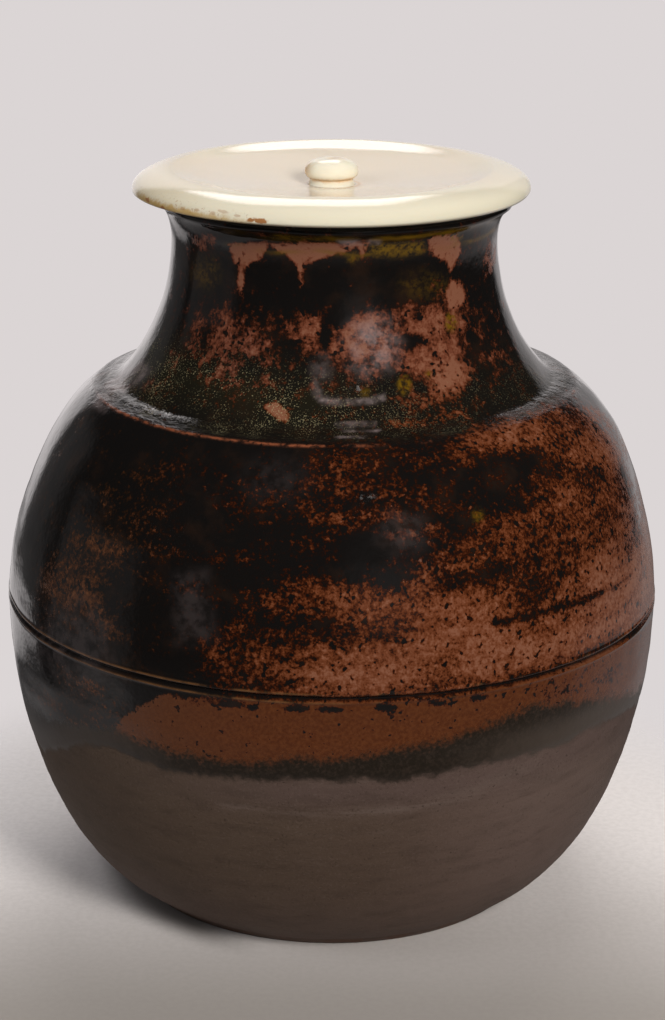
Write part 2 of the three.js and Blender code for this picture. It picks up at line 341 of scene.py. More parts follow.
# Brown crystals in the black glaze: softness of the edge in mm, change of level, outline in pixels
BROWN_OUTLINES = {
    "coat below the line": (0.5, 5.8, (
        165,691, 140,706, 118,725, 113,737, 153,755, 217,775, 300,775, 391,770, 452,757, 503,738,
        534,725, 575,718, 601,712, 640,704, 655,640, 654,612, 600,652, 520,683, 430,700, 331,703,
        250,700)),
    "lower body": (2.0, 3.6, (
        186,676, 203,640, 226,610, 262,587, 300,575, 340,578, 380,592, 430,592, 480,600, 540,592,
        600,562, 652,532, 655,606, 600,648, 520,678, 430,694, 331,698, 250,695)),
    "upper fringe": (3.5, 1.7, (
        292,600, 300,566, 345,558, 400,560, 450,566, 490,575, 500,610, 400,615)),
    "band above the line": (2.5, 0.8, (
        215,680, 240,655, 300,632, 400,636, 500,622, 600,590, 652,560, 654,606, 600,648, 520,678,
        430,694, 331,698, 250,695)),
    "tan right of the line": (2.5, 0.3, (
        470,640, 520,632, 600,604, 652,575, 654,606, 600,648, 520,676, 460,686)),
    "lower body, dark left": (5.0, -2.3, (
        180,692, 188,650, 230,600, 290,566, 335,570, 330,612, 310,650, 290,696)),
    "right of the body": (4.0, 2.0, (
        430,572, 480,535, 520,500, 540,470, 600,446, 655,470, 660,540, 600,580, 540,600, 470,604)),
    "right of centre": (4.0, 0.5, (
        420,500, 470,485, 530,480, 560,490, 540,530, 480,566, 420,566, 396,530)),
    "right edge": (4.0, 1.1, (580,500, 615,480, 650,505, 656,560, 654,600, 600,610, 560,590, 570,540)),
    "under the ridge": (2.0, 1.5, (
        300,452, 350,446, 430,440, 500,424, 540,410, 540,440, 470,462, 390,474, 310,476)),
    "right shoulder": (2.0, 3.1, (
        455,436, 520,412, 570,396, 605,415, 625,450, 600,466, 560,460, 520,455, 480,448)),
    "under the right shoulder": (3.0, 0.2, oval(510, 475, 80, 26, -10)),
    "ring on the right": (1.5, 1.0, oval(553, 492, 22, 15, 20)),
    "left patch, upper": (1.5, 2.2, oval(95, 548, 32, 14, 10)),
    "left patch, lower": (2.0, 2.5, oval(72, 590, 36, 29, 20)),
    "left patch, tail": (2.0, 2.0, oval(107, 620, 16, 14)),
    "left of the body": (5.0, 0.3, oval(110, 560, 70, 60)),
    "sparse specks, upper left": (6.0, 0.45, oval(230, 510, 120, 62)),
    "below the line, left": (3.0, 1.6, oval(85, 705, 45, 28, 20)),
    "centre, high": (3.0, 1.1, oval(380, 512, 95, 38)),
    "upper streak": (0.7, 1.9, (310,517, 352,513, 400,515, 400,521, 352,520, 310,524)),
    "lower streak": (0.7, 2.2, (345,527, 395,533, 440,524, 440,530, 395,540, 345,534)),
    "black eye": (1.5, -5.0, oval(365, 548, 22, 14)),
    "black drop, left": (0.5, -4.0, oval(353, 577, 6, 4)),
    "black drop, right": (0.5, -4.0, oval(392, 580, 7, 4)),
    "dark streak": (0.5, -3.6, (
        493,620, 520,615, 560,604, 600,590, 632,572, 632,577, 600,596, 560,610, 520,621, 493,627)),
    "dark specks over the streak": (1.5, -1.3, (490,600, 560,583, 630,555, 632,570, 560,602, 493,618)),
    "dark patches, centre": (2.5, -1.7, oval(350, 628, 56, 26)),
    "dark patch in the brown": (1.5, -1.5, oval(480, 575, 30, 9, -15)),
    "neck, all round": (4.0, 0.6, (
        150,372, 190,275, 250,275, 330,285, 420,285, 480,280, 530,372, 480,408, 330,425, 210,410)),
    "neck, between the patches": (1.5, 0.6, (
        196,318, 235,304, 300,312, 360,306, 440,296, 500,306, 506,372, 490,404, 440,410, 350,402,
        250,392, 196,384)),
    "neck arches, black": (1.2, -1.2, (
        185,262, 250,262, 330,268, 420,258, 430,296, 380,304, 330,308, 280,306, 230,300, 190,300)),
    "left flames": (0.8, 1.8, (
        202,362, 206,335, 216,316, 222,306, 232,306, 230,326, 240,338, 252,322, 260,317, 268,330,
        260,346, 270,352, 270,364, 245,368, 232,382, 214,374)),
    "left flame, outer": (1.0, 1.7, oval(194, 338, 9, 18, 10)),
    "left flames, low": (1.0, 1.3, oval(222, 384, 20, 9)),
    "left specks": (1.2, 2.1, oval(156, 386, 16, 12)),
    "neck, left of centre": (1.0, 3.0, (288,325, 300,316, 315,314, 322,326, 320,342, 302,344, 290,338)),
    "neck centre": (1.2, 3.1, (
        322,350, 326,330, 345,316, 370,312, 395,313, 420,312, 436,302, 452,304, 464,310, 466,330,
        458,350, 466,366, 472,376, 456,392, 436,392, 422,376, 402,364, 385,368, 360,366, 338,364)),
    "neck gap, top": (0.6, -4.0, oval(340, 318, 11, 7)),
    "neck gap, left": (0.6, -5.0, oval(325, 337, 6, 11)),
    "neck gap, right": (1.0, -3.4, oval(410, 340, 11, 10)),
    "neck gap, middle": (1.0, -2.6, oval(394, 322, 9, 6)),
    "neck, lower right": (2.2, 1.2, oval(445, 400, 40, 20, 25)),
    "neck, below centre": (1.2, 1.2, oval(365, 377, 16, 7)),
    "smear under the line, right": (1.2, -3.4, (545,692, 600,672, 622,662, 622,672, 600,684, 548,702)),
    "gutter streak": (0.6, 2.6, (376,422, 420,420, 457,413, 457,418, 420,427, 376,429)),
    "drip, first": (0.4, 7.0, (
        226,243, 268,243, 262,257, 250,264, 245,272, 243,302, 239,292, 237,272, 233,258)),
    "drip, second": (0.4, 7.0, (
        270,243, 300,243, 330,243, 357,243, 352,251, 323,258, 305,266, 301,289, 297,267, 288,256,
        276,250)),
    "drip, third": (0.4, 7.0, (355,243, 370,243, 366,250, 362,259, 359,250)),
    "drip, fourth": (0.4, 7.0, (
        428,240, 445,233, 459,237, 461,252, 455,262, 451,272, 447,262, 436,257, 429,249)),
    "pink under the lip, left": (0.8, 3.4, oval(205, 243, 14, 9)),
    "pink edge on the right": (1.0, 3.4, oval(490, 255, 7, 18)),
    "drop on the right": (0.4, 6.0, oval(455, 294, 9, 15)),
    "lens": (0.3, 7.0, (263,405, 276,402, 287,408, 290,417, 287,423, 278,419, 268,411)),
}
# Black blotches in a row below the cut line, as ovals
BLOTCHES = (
    (230, 704, 12, 3), (253, 707, 5, 3), (297, 708, 13, 3.5), (329, 709, 13, 3.5), (387, 707, 12, 3),
    (436, 703, 7, 2.5), (477, 697, 8, 2.5),
)
BLOTCH_SOFTNESS = 0.4
BLOTCH_CHANGE = -5.5
# Brown patches on the hidden side: angle, height, half width, half height in mm, softness and level
BROWN_PATCHES_BACK = (
    (105, 50, 16, 10, 4.0, 2.2), (128, 44, 13, 7, 3.0, 2.8), (150, 52, 10, 7, 3.0, 1.8),
    (172, 43, 15, 5, 2.5, 2.6), (205, 47, 12, 8, 3.0, 2.2), (232, 41, 12, 4, 2.0, 2.4),
    (250, 55, 8, 5, 2.5, 1.6), (118, 71, 6, 4, 1.0, 3.2), (150, 74, 7, 3, 0.8, 3.6),
    (178, 70, 6, 5, 1.0, 3.2), (212, 73, 8, 3, 0.8, 3.8), (245, 71, 5, 4, 1.0, 3.2),
    (140, 83, 5, 2, 0.3, 7.0), (186, 83, 7, 2, 0.3, 7.0), (226, 83, 4, 3, 0.3, 7.0),
    (146, 81, 1.4, 3.5, 0.4, 6.0), (137, 81.5, 1.0, 2.2, 0.4, 5.0), (180, 81.5, 1.6, 2.4, 0.4, 6.0),
    (192, 80, 1.2, 4.6, 0.4, 6.0), (229, 80, 1.0, 3.6, 0.4, 6.0), (160, 82, 2.0, 1.2, 0.3, 4.0),
)
# Olive spots and stains: softness in mm, strength, outline
OLIVE_OUTLINES = {
    "stain under the lip": (0.5, 0.9, (366,245, 395,243, 425,243, 424,252, 400,256, 372,256)),
    "ring on the neck": (0.4, 1.0, oval(451, 322, 6, 9)),
    "dot on the neck": (0.35, 1.0, oval(404, 385, 7, 9)),
    "dot under the lip": (0.3, 0.9, oval(457, 238, 6, 5)),
    "small dot": (0.3, 0.8, oval(428, 374, 3, 3)),
    "faint dapple, left arch": (1.5, 0.35, oval(206, 272, 12, 13)),
    "faint dapple, right arch": (1.5, 0.3, oval(425, 285, 22, 9)),
    "arch stain": (0.4, 0.7, oval(353, 257, 6, 5)),
    "lower dot": (0.4, 0.6, oval(365, 392, 5, 4)),
    "dot on the body": (0.4, 0.7, oval(477, 516, 5, 6)),
}
# Painted reflections, sheen and glints on the glaze, as pale colour: softness in mm, strength, outline
PAINTED_REFLECTION_OUTLINES = {
    "sheen on the neck": (2.0, 0.36, oval(372, 345, 24, 26, 20)),
    "sheen, left end": (1.0, 0.16, oval(322, 368, 9, 12)),
    "hook, upright": (0.5, 0.2, oval(317, 388, 5, 9, -15)),
    "hook, foot": (0.35, 0.55, (316,396, 335,399, 370,399, 384,394, 385,399, 370,404, 322,403)),
    "gutter streak, upper": (0.25, 0.6, (336,423, 376,423, 374,426, 338,426)),
    "gutter streak, middle": (0.25, 0.5, (342,430, 380,430, 378,432, 344,432)),
    "gutter streak, lower": (0.25, 0.45, (336,436, 366,436, 364,438, 338,438)),
    "ridge on the right": (0.8, 0.12, (500,415, 540,400, 575,388, 580,396, 548,410, 510,422)),
    "cloud by the eye": (2.5, 0.10, oval(402, 532, 15, 12)),
    "cloud on the left": (3.0, 0.04, oval(276, 480, 26, 16)),
    "patch on the left": (1.4, 0.06, (175,575, 205,572, 214,640, 178,642)),
    "shoulder, far left": (0.8, 0.32, (92,404, 102,384, 122,368, 142,358, 150,370, 128,388, 104,410)),
    "grey on the left": (3.0, 0.07, oval(72, 640, 38, 40)),
    "under the lip": (0.4, 0.4, (338,240, 380,240, 380,244, 338,244)),
}
# Paler arcs where wet clay was wiped: softness in mm, strength, outline
WIPE_OUTLINES = {
    "upper arc": (0.35, 0.55, (300,781, 351,782, 395,779, 395,782, 351,785, 300,784)),
    "long arc": (0.5, 1.0, (
        215,803, 274,806, 319,808, 367,809, 415,804, 446,797, 446,802, 415,811, 367,817, 319,816,
        274,812, 215,808)),
    "rising arc": (1.2, 0.8, (436,798, 479,784, 512,769, 546,750, 560,752, 520,778, 479,796, 440,806)),
    "faint arc": (0.4, 0.35, (300,832, 345,834, 393,831, 393,834, 345,837, 300,835)),
    "far right": (3.0, 0.35, oval(560, 790, 60, 30, -25)),
}
EDGE_SOFTENING = 9
# Levels of brown: where nothing is drawn, inside, and the change in a dark strip below the cut line
BASE_LEVEL = -2.4
INSIDE_LEVEL = -2.6
STRIP_CHANGE, STRIP_PLACE, STRIP_WIDTH = -1.8, -1.3, 0.6


def edge_run(pixels, back, angle):
    """Run up the wall of an edge round the jar, at each angle."""
    front = on_wall(pixels)
    back_angles, back_heights = np.reshape(back, (-1, 2)).T
    angles = np.concatenate([front[:, 0], np.radians(back_angles)])
    runs = np.concatenate([front[:, 1], run_at(back_heights)])
    order = np.argsort(angles % CIRCLE)
    even = np.radians(np.arange(360))
    run = np.interp(even, angles[order] % CIRCLE, runs[order], period=CIRCLE)
    soften = np.hanning(EDGE_SOFTENING)
    run = np.convolve(np.tile(run, 3), soften / soften.sum(), "same")[len(even):2 * len(even)]
    return np.interp(angle % CIRCLE, even, run, period=CIRCLE)


def brown_marks():
    """All marks that change the level of brown: softness, change and outline on the wall."""
    for softness, change, outline in BROWN_OUTLINES.values():
        yield softness, change, on_wall(outline)
    for blotch in BLOTCHES:
        yield BLOTCH_SOFTNESS, BLOTCH_CHANGE, on_wall(oval(*blotch))
    for turn, height, half_width, half_height, softness, change in BROWN_PATCHES_BACK:
        run = run_at(height)
        patch = oval(0, 0, half_width, half_height) / (radius_at(run), 1)
        yield softness, change, patch + (math.radians(turn), run)


def mark_share(softness, outline, angle, run):
    return smoothstep(-softness, softness, inside_distance(outline, angle, run))


def brown_level(angle, run):
    """How brown the glaze is: about -2.5 where crystals are rare, 0 at half, over 3 where it is solid."""
    level = BASE_LEVEL + STRIP_CHANGE * hump(run - CUT_LINE_RUN, STRIP_WIDTH, STRIP_PLACE)
    for softness, change, outline in brown_marks():
        level += change * mark_share(softness, outline, angle, run)
    return level


def strongest(outlines, angle, run):
    """Share, 0 to 1, of marks given as softness in mm, strength and outline."""
    share = np.zeros(len(angle))
    for softness, strength, outline in outlines.values():
        share = np.maximum(share, strength * mark_share(softness, on_wall(outline), angle, run))
    return share


# Meshes of revolution

# In metres
MERGE_DISTANCE = 1e-7


def turns(count):
    return np.linspace(0, CIRCLE, count, endpoint=False)


def places(points, angles):
    """Radius, across, depth and height of a profile's points all round."""
    radius, height = points[:, :1], points[:, 1:]
    return radius, radius * np.sin(angles), -radius * np.cos(angles), height


def merge_poles(mesh):
    """Merges each ring without width, at the ends of a profile, to one point."""
    shape = bmesh.new()
    shape.from_mesh(mesh)
    bmesh.ops.remove_doubles(shape, verts=shape.verts, dist=MERGE_DISTANCE)
    shape.to_mesh(mesh)
    shape.free()


def paint(mesh, name, values):
    """Keeps one number per vertex for the piece's material."""
    layer = mesh.attributes.new(name, "FLOAT", "POINT")
    layer.data.foreach_set("value", np.ravel(values).astype(np.float32))


def revolved(name, points, angles, outward=0, upward=0, aside=0, closed=False, fields=()):
    """Piece turned from a profile, whose points move outward, upward and aside to the right.

    A closed profile ends where it starts. An open one ends on the axis, where its points are merged.
    """
    radius, height = points[:, :1] + outward, points[:, 1:] + upward
    place = np.broadcast_arrays(radius * np.sin(angles) + aside, -radius * np.cos(angles), height)
    rings, count = place[0].shape
    ring = np.arange(rings if closed else rings - 1)
    turn = np.arange(count)
    low = ring[:, None] * count
    high = ((ring + 1) % rings)[:, None] * count
    after = (turn + 1) % count
    faces = np.stack([low + turn, low + after, high + after, high + turn], -1).reshape(-1, 4)
    mesh = bpy.data.meshes.new(name)
    mesh.from_pydata((np.stack(place, -1) * MM).reshape(-1, 3).tolist(), [], faces.tolist())
    mesh.shade_smooth()
    for field, values in dict(fields).items():
        paint(mesh, field, values)
    if not closed:
        merge_poles(mesh)
    piece = bpy.data.objects.new(name, mesh)
    bpy.context.scene.collection.objects.link(piece)
    return piece


# Jar

# Points round it, and along its profile: rings, and steps in mm up the wall and by the worked lines
JAR_TURNS = 480
UNDER_RINGS, BEVEL_RINGS, LIP_OUTER_RINGS, LIP_INNER_RINGS, INSIDE_RINGS = 56, 4, 8, 6, 110
WALL_STEP = 0.4
LINE_STEP = 0.08
LINE_REACH = 1.5
# How far down the neck is glazed inside, and a distance out of reach of any mark of the wall
GLAZED_INSIDE = 9.0
FAR = 9.0
# Relief in mm: height, width and place of what is worked into the wall
GROOVE_HEIGHT, GROOVE_WIDTH = -0.36, 0.2
BURR_HEIGHT, BURR_WIDTH, BURR_PLACE = 0.09, 0.18, 0.48
RIDGE_HEIGHT, RIDGE_WIDTH = 0.10, 0.45
GUTTER_HEIGHT, GUTTER_WIDTH, GUTTER_PLACE = -0.03, 0.7, 1.1
FULLER_RIGHT, FULLER_HEIGHT, FULLER_WIDTH = 0.35, 59, 9
GLAZE_THICKNESS = 0.12
GLAZE_EDGE_RANGE = (-0.2, 0.6)
SAG_RANGE = (0, 3)
# Relief in mm: height, lump size, and of wheel marks the radius of the drum they are drawn on
UNEVEN_SIZE, UNEVEN_DRUM = 5, 30
THROWING = (0.05, 2.6, 1.2)
TRIMMING = (0.03, 0.9, 0.8)
SAG, SAG_FLATNESS = (0.10, 8.0), 0.8
RIPPLE = (0.03, 3.0)
# Marks of the cutting string: middle of their curl, pitch, height, and width without any at the edge
STRING_MIDDLE = (7.0, -4.0)
STRING_PITCH = 2.1
STRING_HEIGHT = 0.22
STRING_MARGIN = 2


def wall_marks():
    marks = np.arange(0, WALL_RUN[-1], WALL_STEP)
    for centre in (CUT_LINE_RUN, RIDGE_RUN):
        fine = np.arange(centre - LINE_REACH, centre + LINE_REACH, LINE_STEP)
        marks = np.concatenate([marks[abs(marks - centre) > LINE_REACH], fine])
    return np.sort(np.append(marks, WALL_RUN[-1]))


def jar_profile():
    """Points from under the foot over the lip to the floor inside, which are the wall, and their runs."""
    marks = wall_marks()
    under = path((0, 0), (UNDER_RINGS, FOOT_RADIUS, 0), (BEVEL_RINGS, *BEVEL_TOP))[:-1]
    outer = quarter((LIP_RADIUS - LIP_OUTER_ROUND, MOUTH_HEIGHT - LIP_OUTER_ROUND),
                    LIP_OUTER_ROUND, LIP_OUTER_ROUND, 0, LIP_OUTER_RINGS)
    inner = quarter((MOUTH_RADIUS + LIP_INNER_ROUND, MOUTH_HEIGHT - LIP_INNER_ROUND),
                    LIP_INNER_ROUND, LIP_INNER_ROUND, 90, LIP_INNER_RINGS)
    inside = join(
        bend(inner[-1], (BORE_RADIUS, NECK_HEIGHT), BORE_SHARES, FINE),
        offset_inwards(NECK, NECK_WALL, NECK_WALL)[::-1],
        offset_inwards(UPPER_WALL, BELLY_WALL, NECK_WALL)[::-1],
        bend((0, FLOOR_THICKNESS), (BELLY_RADIUS - BELLY_WALL, BELLY_HEIGHT), BOWL_SHARES, FINE)[::-1])
    inside = resample(inside, np.linspace(0, lengths(inside)[-1], INSIDE_RINGS))
    points = np.concatenate([under, resample(WALL, marks), outer[1:], inner, inside[1:]])
    return points, slice(len(under), len(under) + len(marks)), marks


def string_cut(x, y):
    """Height of the ridges that the cutting string left under the foot."""
    off_x, off_y = x - STRING_MIDDLE[0], y - STRING_MIDDLE[1]
    curl = CIRCLE * np.hypot(off_x, off_y) / STRING_PITCH - np.arctan2(off_y, off_x)
    wave = 0.5 + 0.5 * np.cos(curl)
    return STRING_HEIGHT * wave ** 2 * smoothstep(FOOT_RADIUS, FOOT_RADIUS - STRING_MARGIN, np.hypot(x, y))


def line_relief(x, y, run, noise):
    """The cut line with its raised edges, and the shoulder's ridge with the gutter inside it."""
    cut, ridge = run - CUT_LINE_RUN, run - RIDGE_RUN
    burrs = hump(cut, BURR_WIDTH, BURR_PLACE) + hump(cut, BURR_WIDTH, -BURR_PLACE)
    uneven = 0.8 + 0.4 * noise(x * UNEVEN_DRUM, y * UNEVEN_DRUM, 0, UNEVEN_SIZE)
    return (GROOVE_HEIGHT * hump(cut, GROOVE_WIDTH) + BURR_HEIGHT * burrs
            + uneven * RIDGE_HEIGHT * hump(ridge, RIDGE_WIDTH)
            + GUTTER_HEIGHT * hump(ridge, GUTTER_WIDTH, GUTTER_PLACE))


def wall_relief(angle, run, radius, height, edge):
    """How far the wall stands off its smooth outline, in mm."""
    noise = Noise(11)
    x, y = np.sin(angle), np.cos(angle)

    def wheel_marks(high, size, drum):
        return high * noise(drum * x, drum * y, run, size)

    def lumps(high, size, flatness=1):
        return high * noise(radius * x, radius * y, height * flatness, size)

    bare = smoothstep(1, -1, edge)
    glaze = GLAZE_THICKNESS * (smoothstep(*GLAZE_EDGE_RANGE, edge) - 1)
    sag = (lumps(*SAG, SAG_FLATNESS) + lumps(*RIPPLE)) * smoothstep(*SAG_RANGE, edge)
    fuller = FULLER_RIGHT * x * hump(height, FULLER_WIDTH, FULLER_HEIGHT)
    worked = line_relief(x, y, run, noise) + wheel_marks(*THROWING) + wheel_marks(*TRIMMING) * bare
    return worked + glaze + sag + fuller


def wall_fields(angle, run, edge):
    """Numbers on the wall for the jar's material."""
    return {
        "edge": edge,
        "brown_edge": run - edge_run(BROWN_EDGE_PIXELS, BROWN_EDGE_BACK, angle),
        "level": brown_level(angle, run),
        "cut_line": run - CUT_LINE_RUN,
        "ridge": run - RIDGE_RUN,
        "lip": WALL_RUN[-1] - run,
        "olive": strongest(OLIVE_OUTLINES, angle, run),
        "wiped": strongest(WIPE_OUTLINES, angle, run),
        # where reflections, sheen and glints are painted on the glaze
        "haze": strongest(PAINTED_REFLECTION_OUTLINES, angle, run),
    }


def off_wall(points, wall):
    """The same numbers off the wall, where they aren't 0. The glaze ends inside the neck."""
    inside = np.arange(len(points)) >= wall.stop
    edge = np.where(inside, points[:, 1] - MOUTH_HEIGHT + GLAZED_INSIDE, -FAR)[:, None]
    return {"edge": edge, "brown_edge": edge, "level": INSIDE_LEVEL,
            "cut_line": FAR, "ridge": FAR, "lip": -FAR}


def build_jar():
    points, wall, marks = jar_profile()
    angles = turns(JAR_TURNS)
    angle = np.tile(angles, len(marks))
    run, radius, height = (np.repeat(v, JAR_TURNS) for v in (marks, *points[wall].T))
    edge = run - edge_run(GLAZE_EDGE_PIXELS, GLAZE_EDGE_BACK, angle)
    lift = np.zeros((len(points), JAR_TURNS))
    lift[wall] = wall_relief(angle, run, radius, height, edge).reshape(-1, JAR_TURNS)
    out = normals(points)
    outward, upward = out[:, :1] * lift, out[:, 1:] * lift
    under = points[:, 1] < SAME_PLACE
    upward[under] += string_cut(*places(points[under], angles)[1:3])
    fields, elsewhere = {}, off_wall(points, wall)
    for name, values in wall_fields(angle, run, edge).items():
        fields[name] = np.zeros(lift.shape) + elsewhere.get(name, 0)
        fields[name][wall] = values.reshape(-1, JAR_TURNS)
    return revolved("stoneware_jar", points, angles, outward, upward, fields=fields)


# Lid, in its own heights: zero is the seat

LID_TURNS, KNOB_TURNS, LEAF_TURNS = 256, 96, 200
LID_RISE_RIGHT = 0.2
LID_SHIFT_LEFT = 0.45
# Unevenness in mm: height and lump size
RIM_WARP, LID_WARP = (0.06, 11.0), (0.012, 4.0)
KNOB_WARP, KNOB_SIDE_WARP = (0.03, 1.6), (0.03, 2)
RIM_STARTS = 8
KNOB_TOP_RANGE = (1.6, 2.4)
DIMPLE_PLACE, DIMPLE_DEPTH, DIMPLE_WIDTH = (-0.3, 0.1), 0.22, 0.8
CREASE_DEPTH, CREASE_SIZES, CREASE_SHIFT = 0.16, (3.4, 1.5), 9


def lid_profile():
    """Closed section, from the peg's hole out under the plate and back over it."""
    ring_foot = (LID_RING_RADIUS - LID_RING_ROUND, LID_RING_ROUND - LID_RING_DEPTH)
    rim_foot = (LID_RADIUS - LID_UNDER_WIDTH, LID_UNDER_HEIGHT)
    crest = (LID_RADIUS - LID_CREST_INSET, LID_RIM_HEIGHT)
    slope_foot = (LID_SLOPE_RADIUS, LID_SLOPE_HEIGHT)
    dish_foot = (KNOB_SEAT_RADIUS, LID_DISH_HEIGHT)
    return join(
        path((PEG_HOLE_RADIUS, LID_RECESS_HEIGHT), (16, LID_RECESS_RADIUS, LID_RECESS_HEIGHT),
             (3, LID_RECESS_RADIUS, -LID_RING_DEPTH)),
        quarter(ring_foot, LID_RING_ROUND, LID_RING_ROUND, -90, 5),
        path((LID_RING_RADIUS, LID_RING_ROUND - LID_RING_DEPTH), (4, LID_RING_RADIUS, 0),
             (10, LID_RADIUS - LID_UNDER_WIDTH, 0)),
        quarter(rim_foot, LID_UNDER_WIDTH, LID_UNDER_HEIGHT, -90, 10),
        bend((LID_RADIUS, LID_UNDER_HEIGHT), crest, RIM_SHARES, 24),
        bend(crest, slope_foot, SLOPE_SHARES, 20),
        bend(slope_foot, dish_foot, DISH_SHARES, 50),
        path(dish_foot, (6, PEG_HOLE_RADIUS, LID_DISH_HEIGHT),
             (4, PEG_HOLE_RADIUS, LID_RECESS_HEIGHT))[:-1])


def build_plate():
    """Old ivory: the rim lies to the left, is higher on the right and is nowhere quite even."""
    points, angles, noise = lid_profile(), turns(LID_TURNS), Noise(23)
    radius, x, y, height = places(points, angles)
    above = smoothstep(-0.1, LID_UNDER_HEIGHT, height)
    rim = smoothstep(RIM_STARTS, LID_RADIUS, radius) * above
    uneven = [high * noise(x, y, 0, size) for high, size in (RIM_WARP, LID_WARP)]
    upward = (LID_RISE_RIGHT * x / LID_RADIUS + uneven[0]) * rim + uneven[1] * above
    under = smoothstep(LID_RING_RADIUS + 1, LID_RADIUS - 1, radius)
    over = smoothstep(PEG_HOLE_RADIUS, KNOB_FOOT_RADIUS, radius)
    aside = -LID_SHIFT_LEFT * (under + (over - under) * above)
    return revolved("ivory_plate", points + (0, MOUTH_HEIGHT), angles, 0, upward, aside, closed=True)


def knob_profile():
    bun = KNOB_WAIST_HEIGHT + KNOB_UNDER_HEIGHT
    waist = (KNOB_WAIST_RADIUS, KNOB_WAIST_HEIGHT)
    return join(
        path((0, -PEG_LENGTH), (4, PEG_RADIUS, -PEG_LENGTH), (4, PEG_RADIUS, 0), (4, KNOB_FOOT_RADIUS, 0)),
        bend((KNOB_FOOT_RADIUS, 0), waist, KNOB_FOOT_SHARES, 10),
        quarter((KNOB_WAIST_RADIUS, bun), KNOB_BUN_RADIUS - KNOB_WAIST_RADIUS, KNOB_UNDER_HEIGHT, -90, 8),
        bend((KNOB_BUN_RADIUS, bun), (0, bun + KNOB_CROWN_HEIGHT), KNOB_CROWN_SHARES, 24))


def build_knob():
    """Knob with a worn dimple. It lies aside with the plate, and its peg stays in the hole."""
    points, angles, noise = knob_profile(), turns(KNOB_TURNS), Noise(31)
    radius, x, y, height = places(points, angles)
    dimple = -DIMPLE_DEPTH * hump(np.hypot(x - DIMPLE_PLACE[0], y - DIMPLE_PLACE[1]), DIMPLE_WIDTH)
    uneven = KNOB_WARP[0] * noise(x, y, 0, KNOB_WARP[1])
    upward = (dimple + uneven) * smoothstep(*KNOB_TOP_RANGE, height)
    sides = KNOB_SIDE_WARP[0] * noise(2 * np.sin(angles), 2 * np.cos(angles), height, KNOB_SIDE_WARP[1])
    outward = sides * smoothstep(0.1, 1, height) * smoothstep(0, 1, radius)
    seated = np.where(height > -SAME_PLACE, smoothstep(PEG_RADIUS, KNOB_FOOT_RADIUS, radius), 0.0)
    aside = -LID_SHIFT_LEFT * np.where(height > SAME_PLACE, 1.0, seated)
    seat = MOUTH_HEIGHT + LID_DISH_HEIGHT
    return revolved("ivory_knob", points + (0, seat), angles, outward, upward, aside)


def build_leaf():
    """Leaf in the recess under the plate, with the creases of the sheet."""
    skirt_in, under = LEAF_RADIUS - LEAF_THICKNESS, LID_RECESS_HEIGHT - LEAF_THICKNESS
    points = path((0, under), (70, skirt_in, under), (5, skirt_in, LEAF_SKIRT_HEIGHT),
                  (1, LEAF_RADIUS, LEAF_SKIRT_HEIGHT), (5, LEAF_RADIUS, LID_RECESS_HEIGHT),
                  (10, 0, LID_RECESS_HEIGHT))
    angles, noise = turns(LEAF_TURNS), Noise(47)
    radius, x, y, height = places(points, angles)
    coarse, fine = (abs(noise(x, y, shift, size)) for shift, size in zip((0, CREASE_SHIFT), CREASE_SIZES))
    facing = (abs(height - under) < SAME_PLACE) * smoothstep(skirt_in, skirt_in - 1, radius)
    upward = -CREASE_DEPTH * (coarse + 0.5 * fine) * facing
    return revolved("gold_leaf", points + (0, MOUTH_HEIGHT), angles, 0, upward)


# Materials

def srgb(red, green, blue):
    """Display colour, 0 to 255, as the light that gives it."""
    shares = [c / 255 for c in (red, green, blue)]
    return tuple(c / 12.92 if c <= 0.04045 else ((c + 0.055) / 1.055) ** 2.4 for c in shares) + (1.0,)


def as_colour(tone):
    return srgb(*tone) if isinstance(tone, tuple) else tone


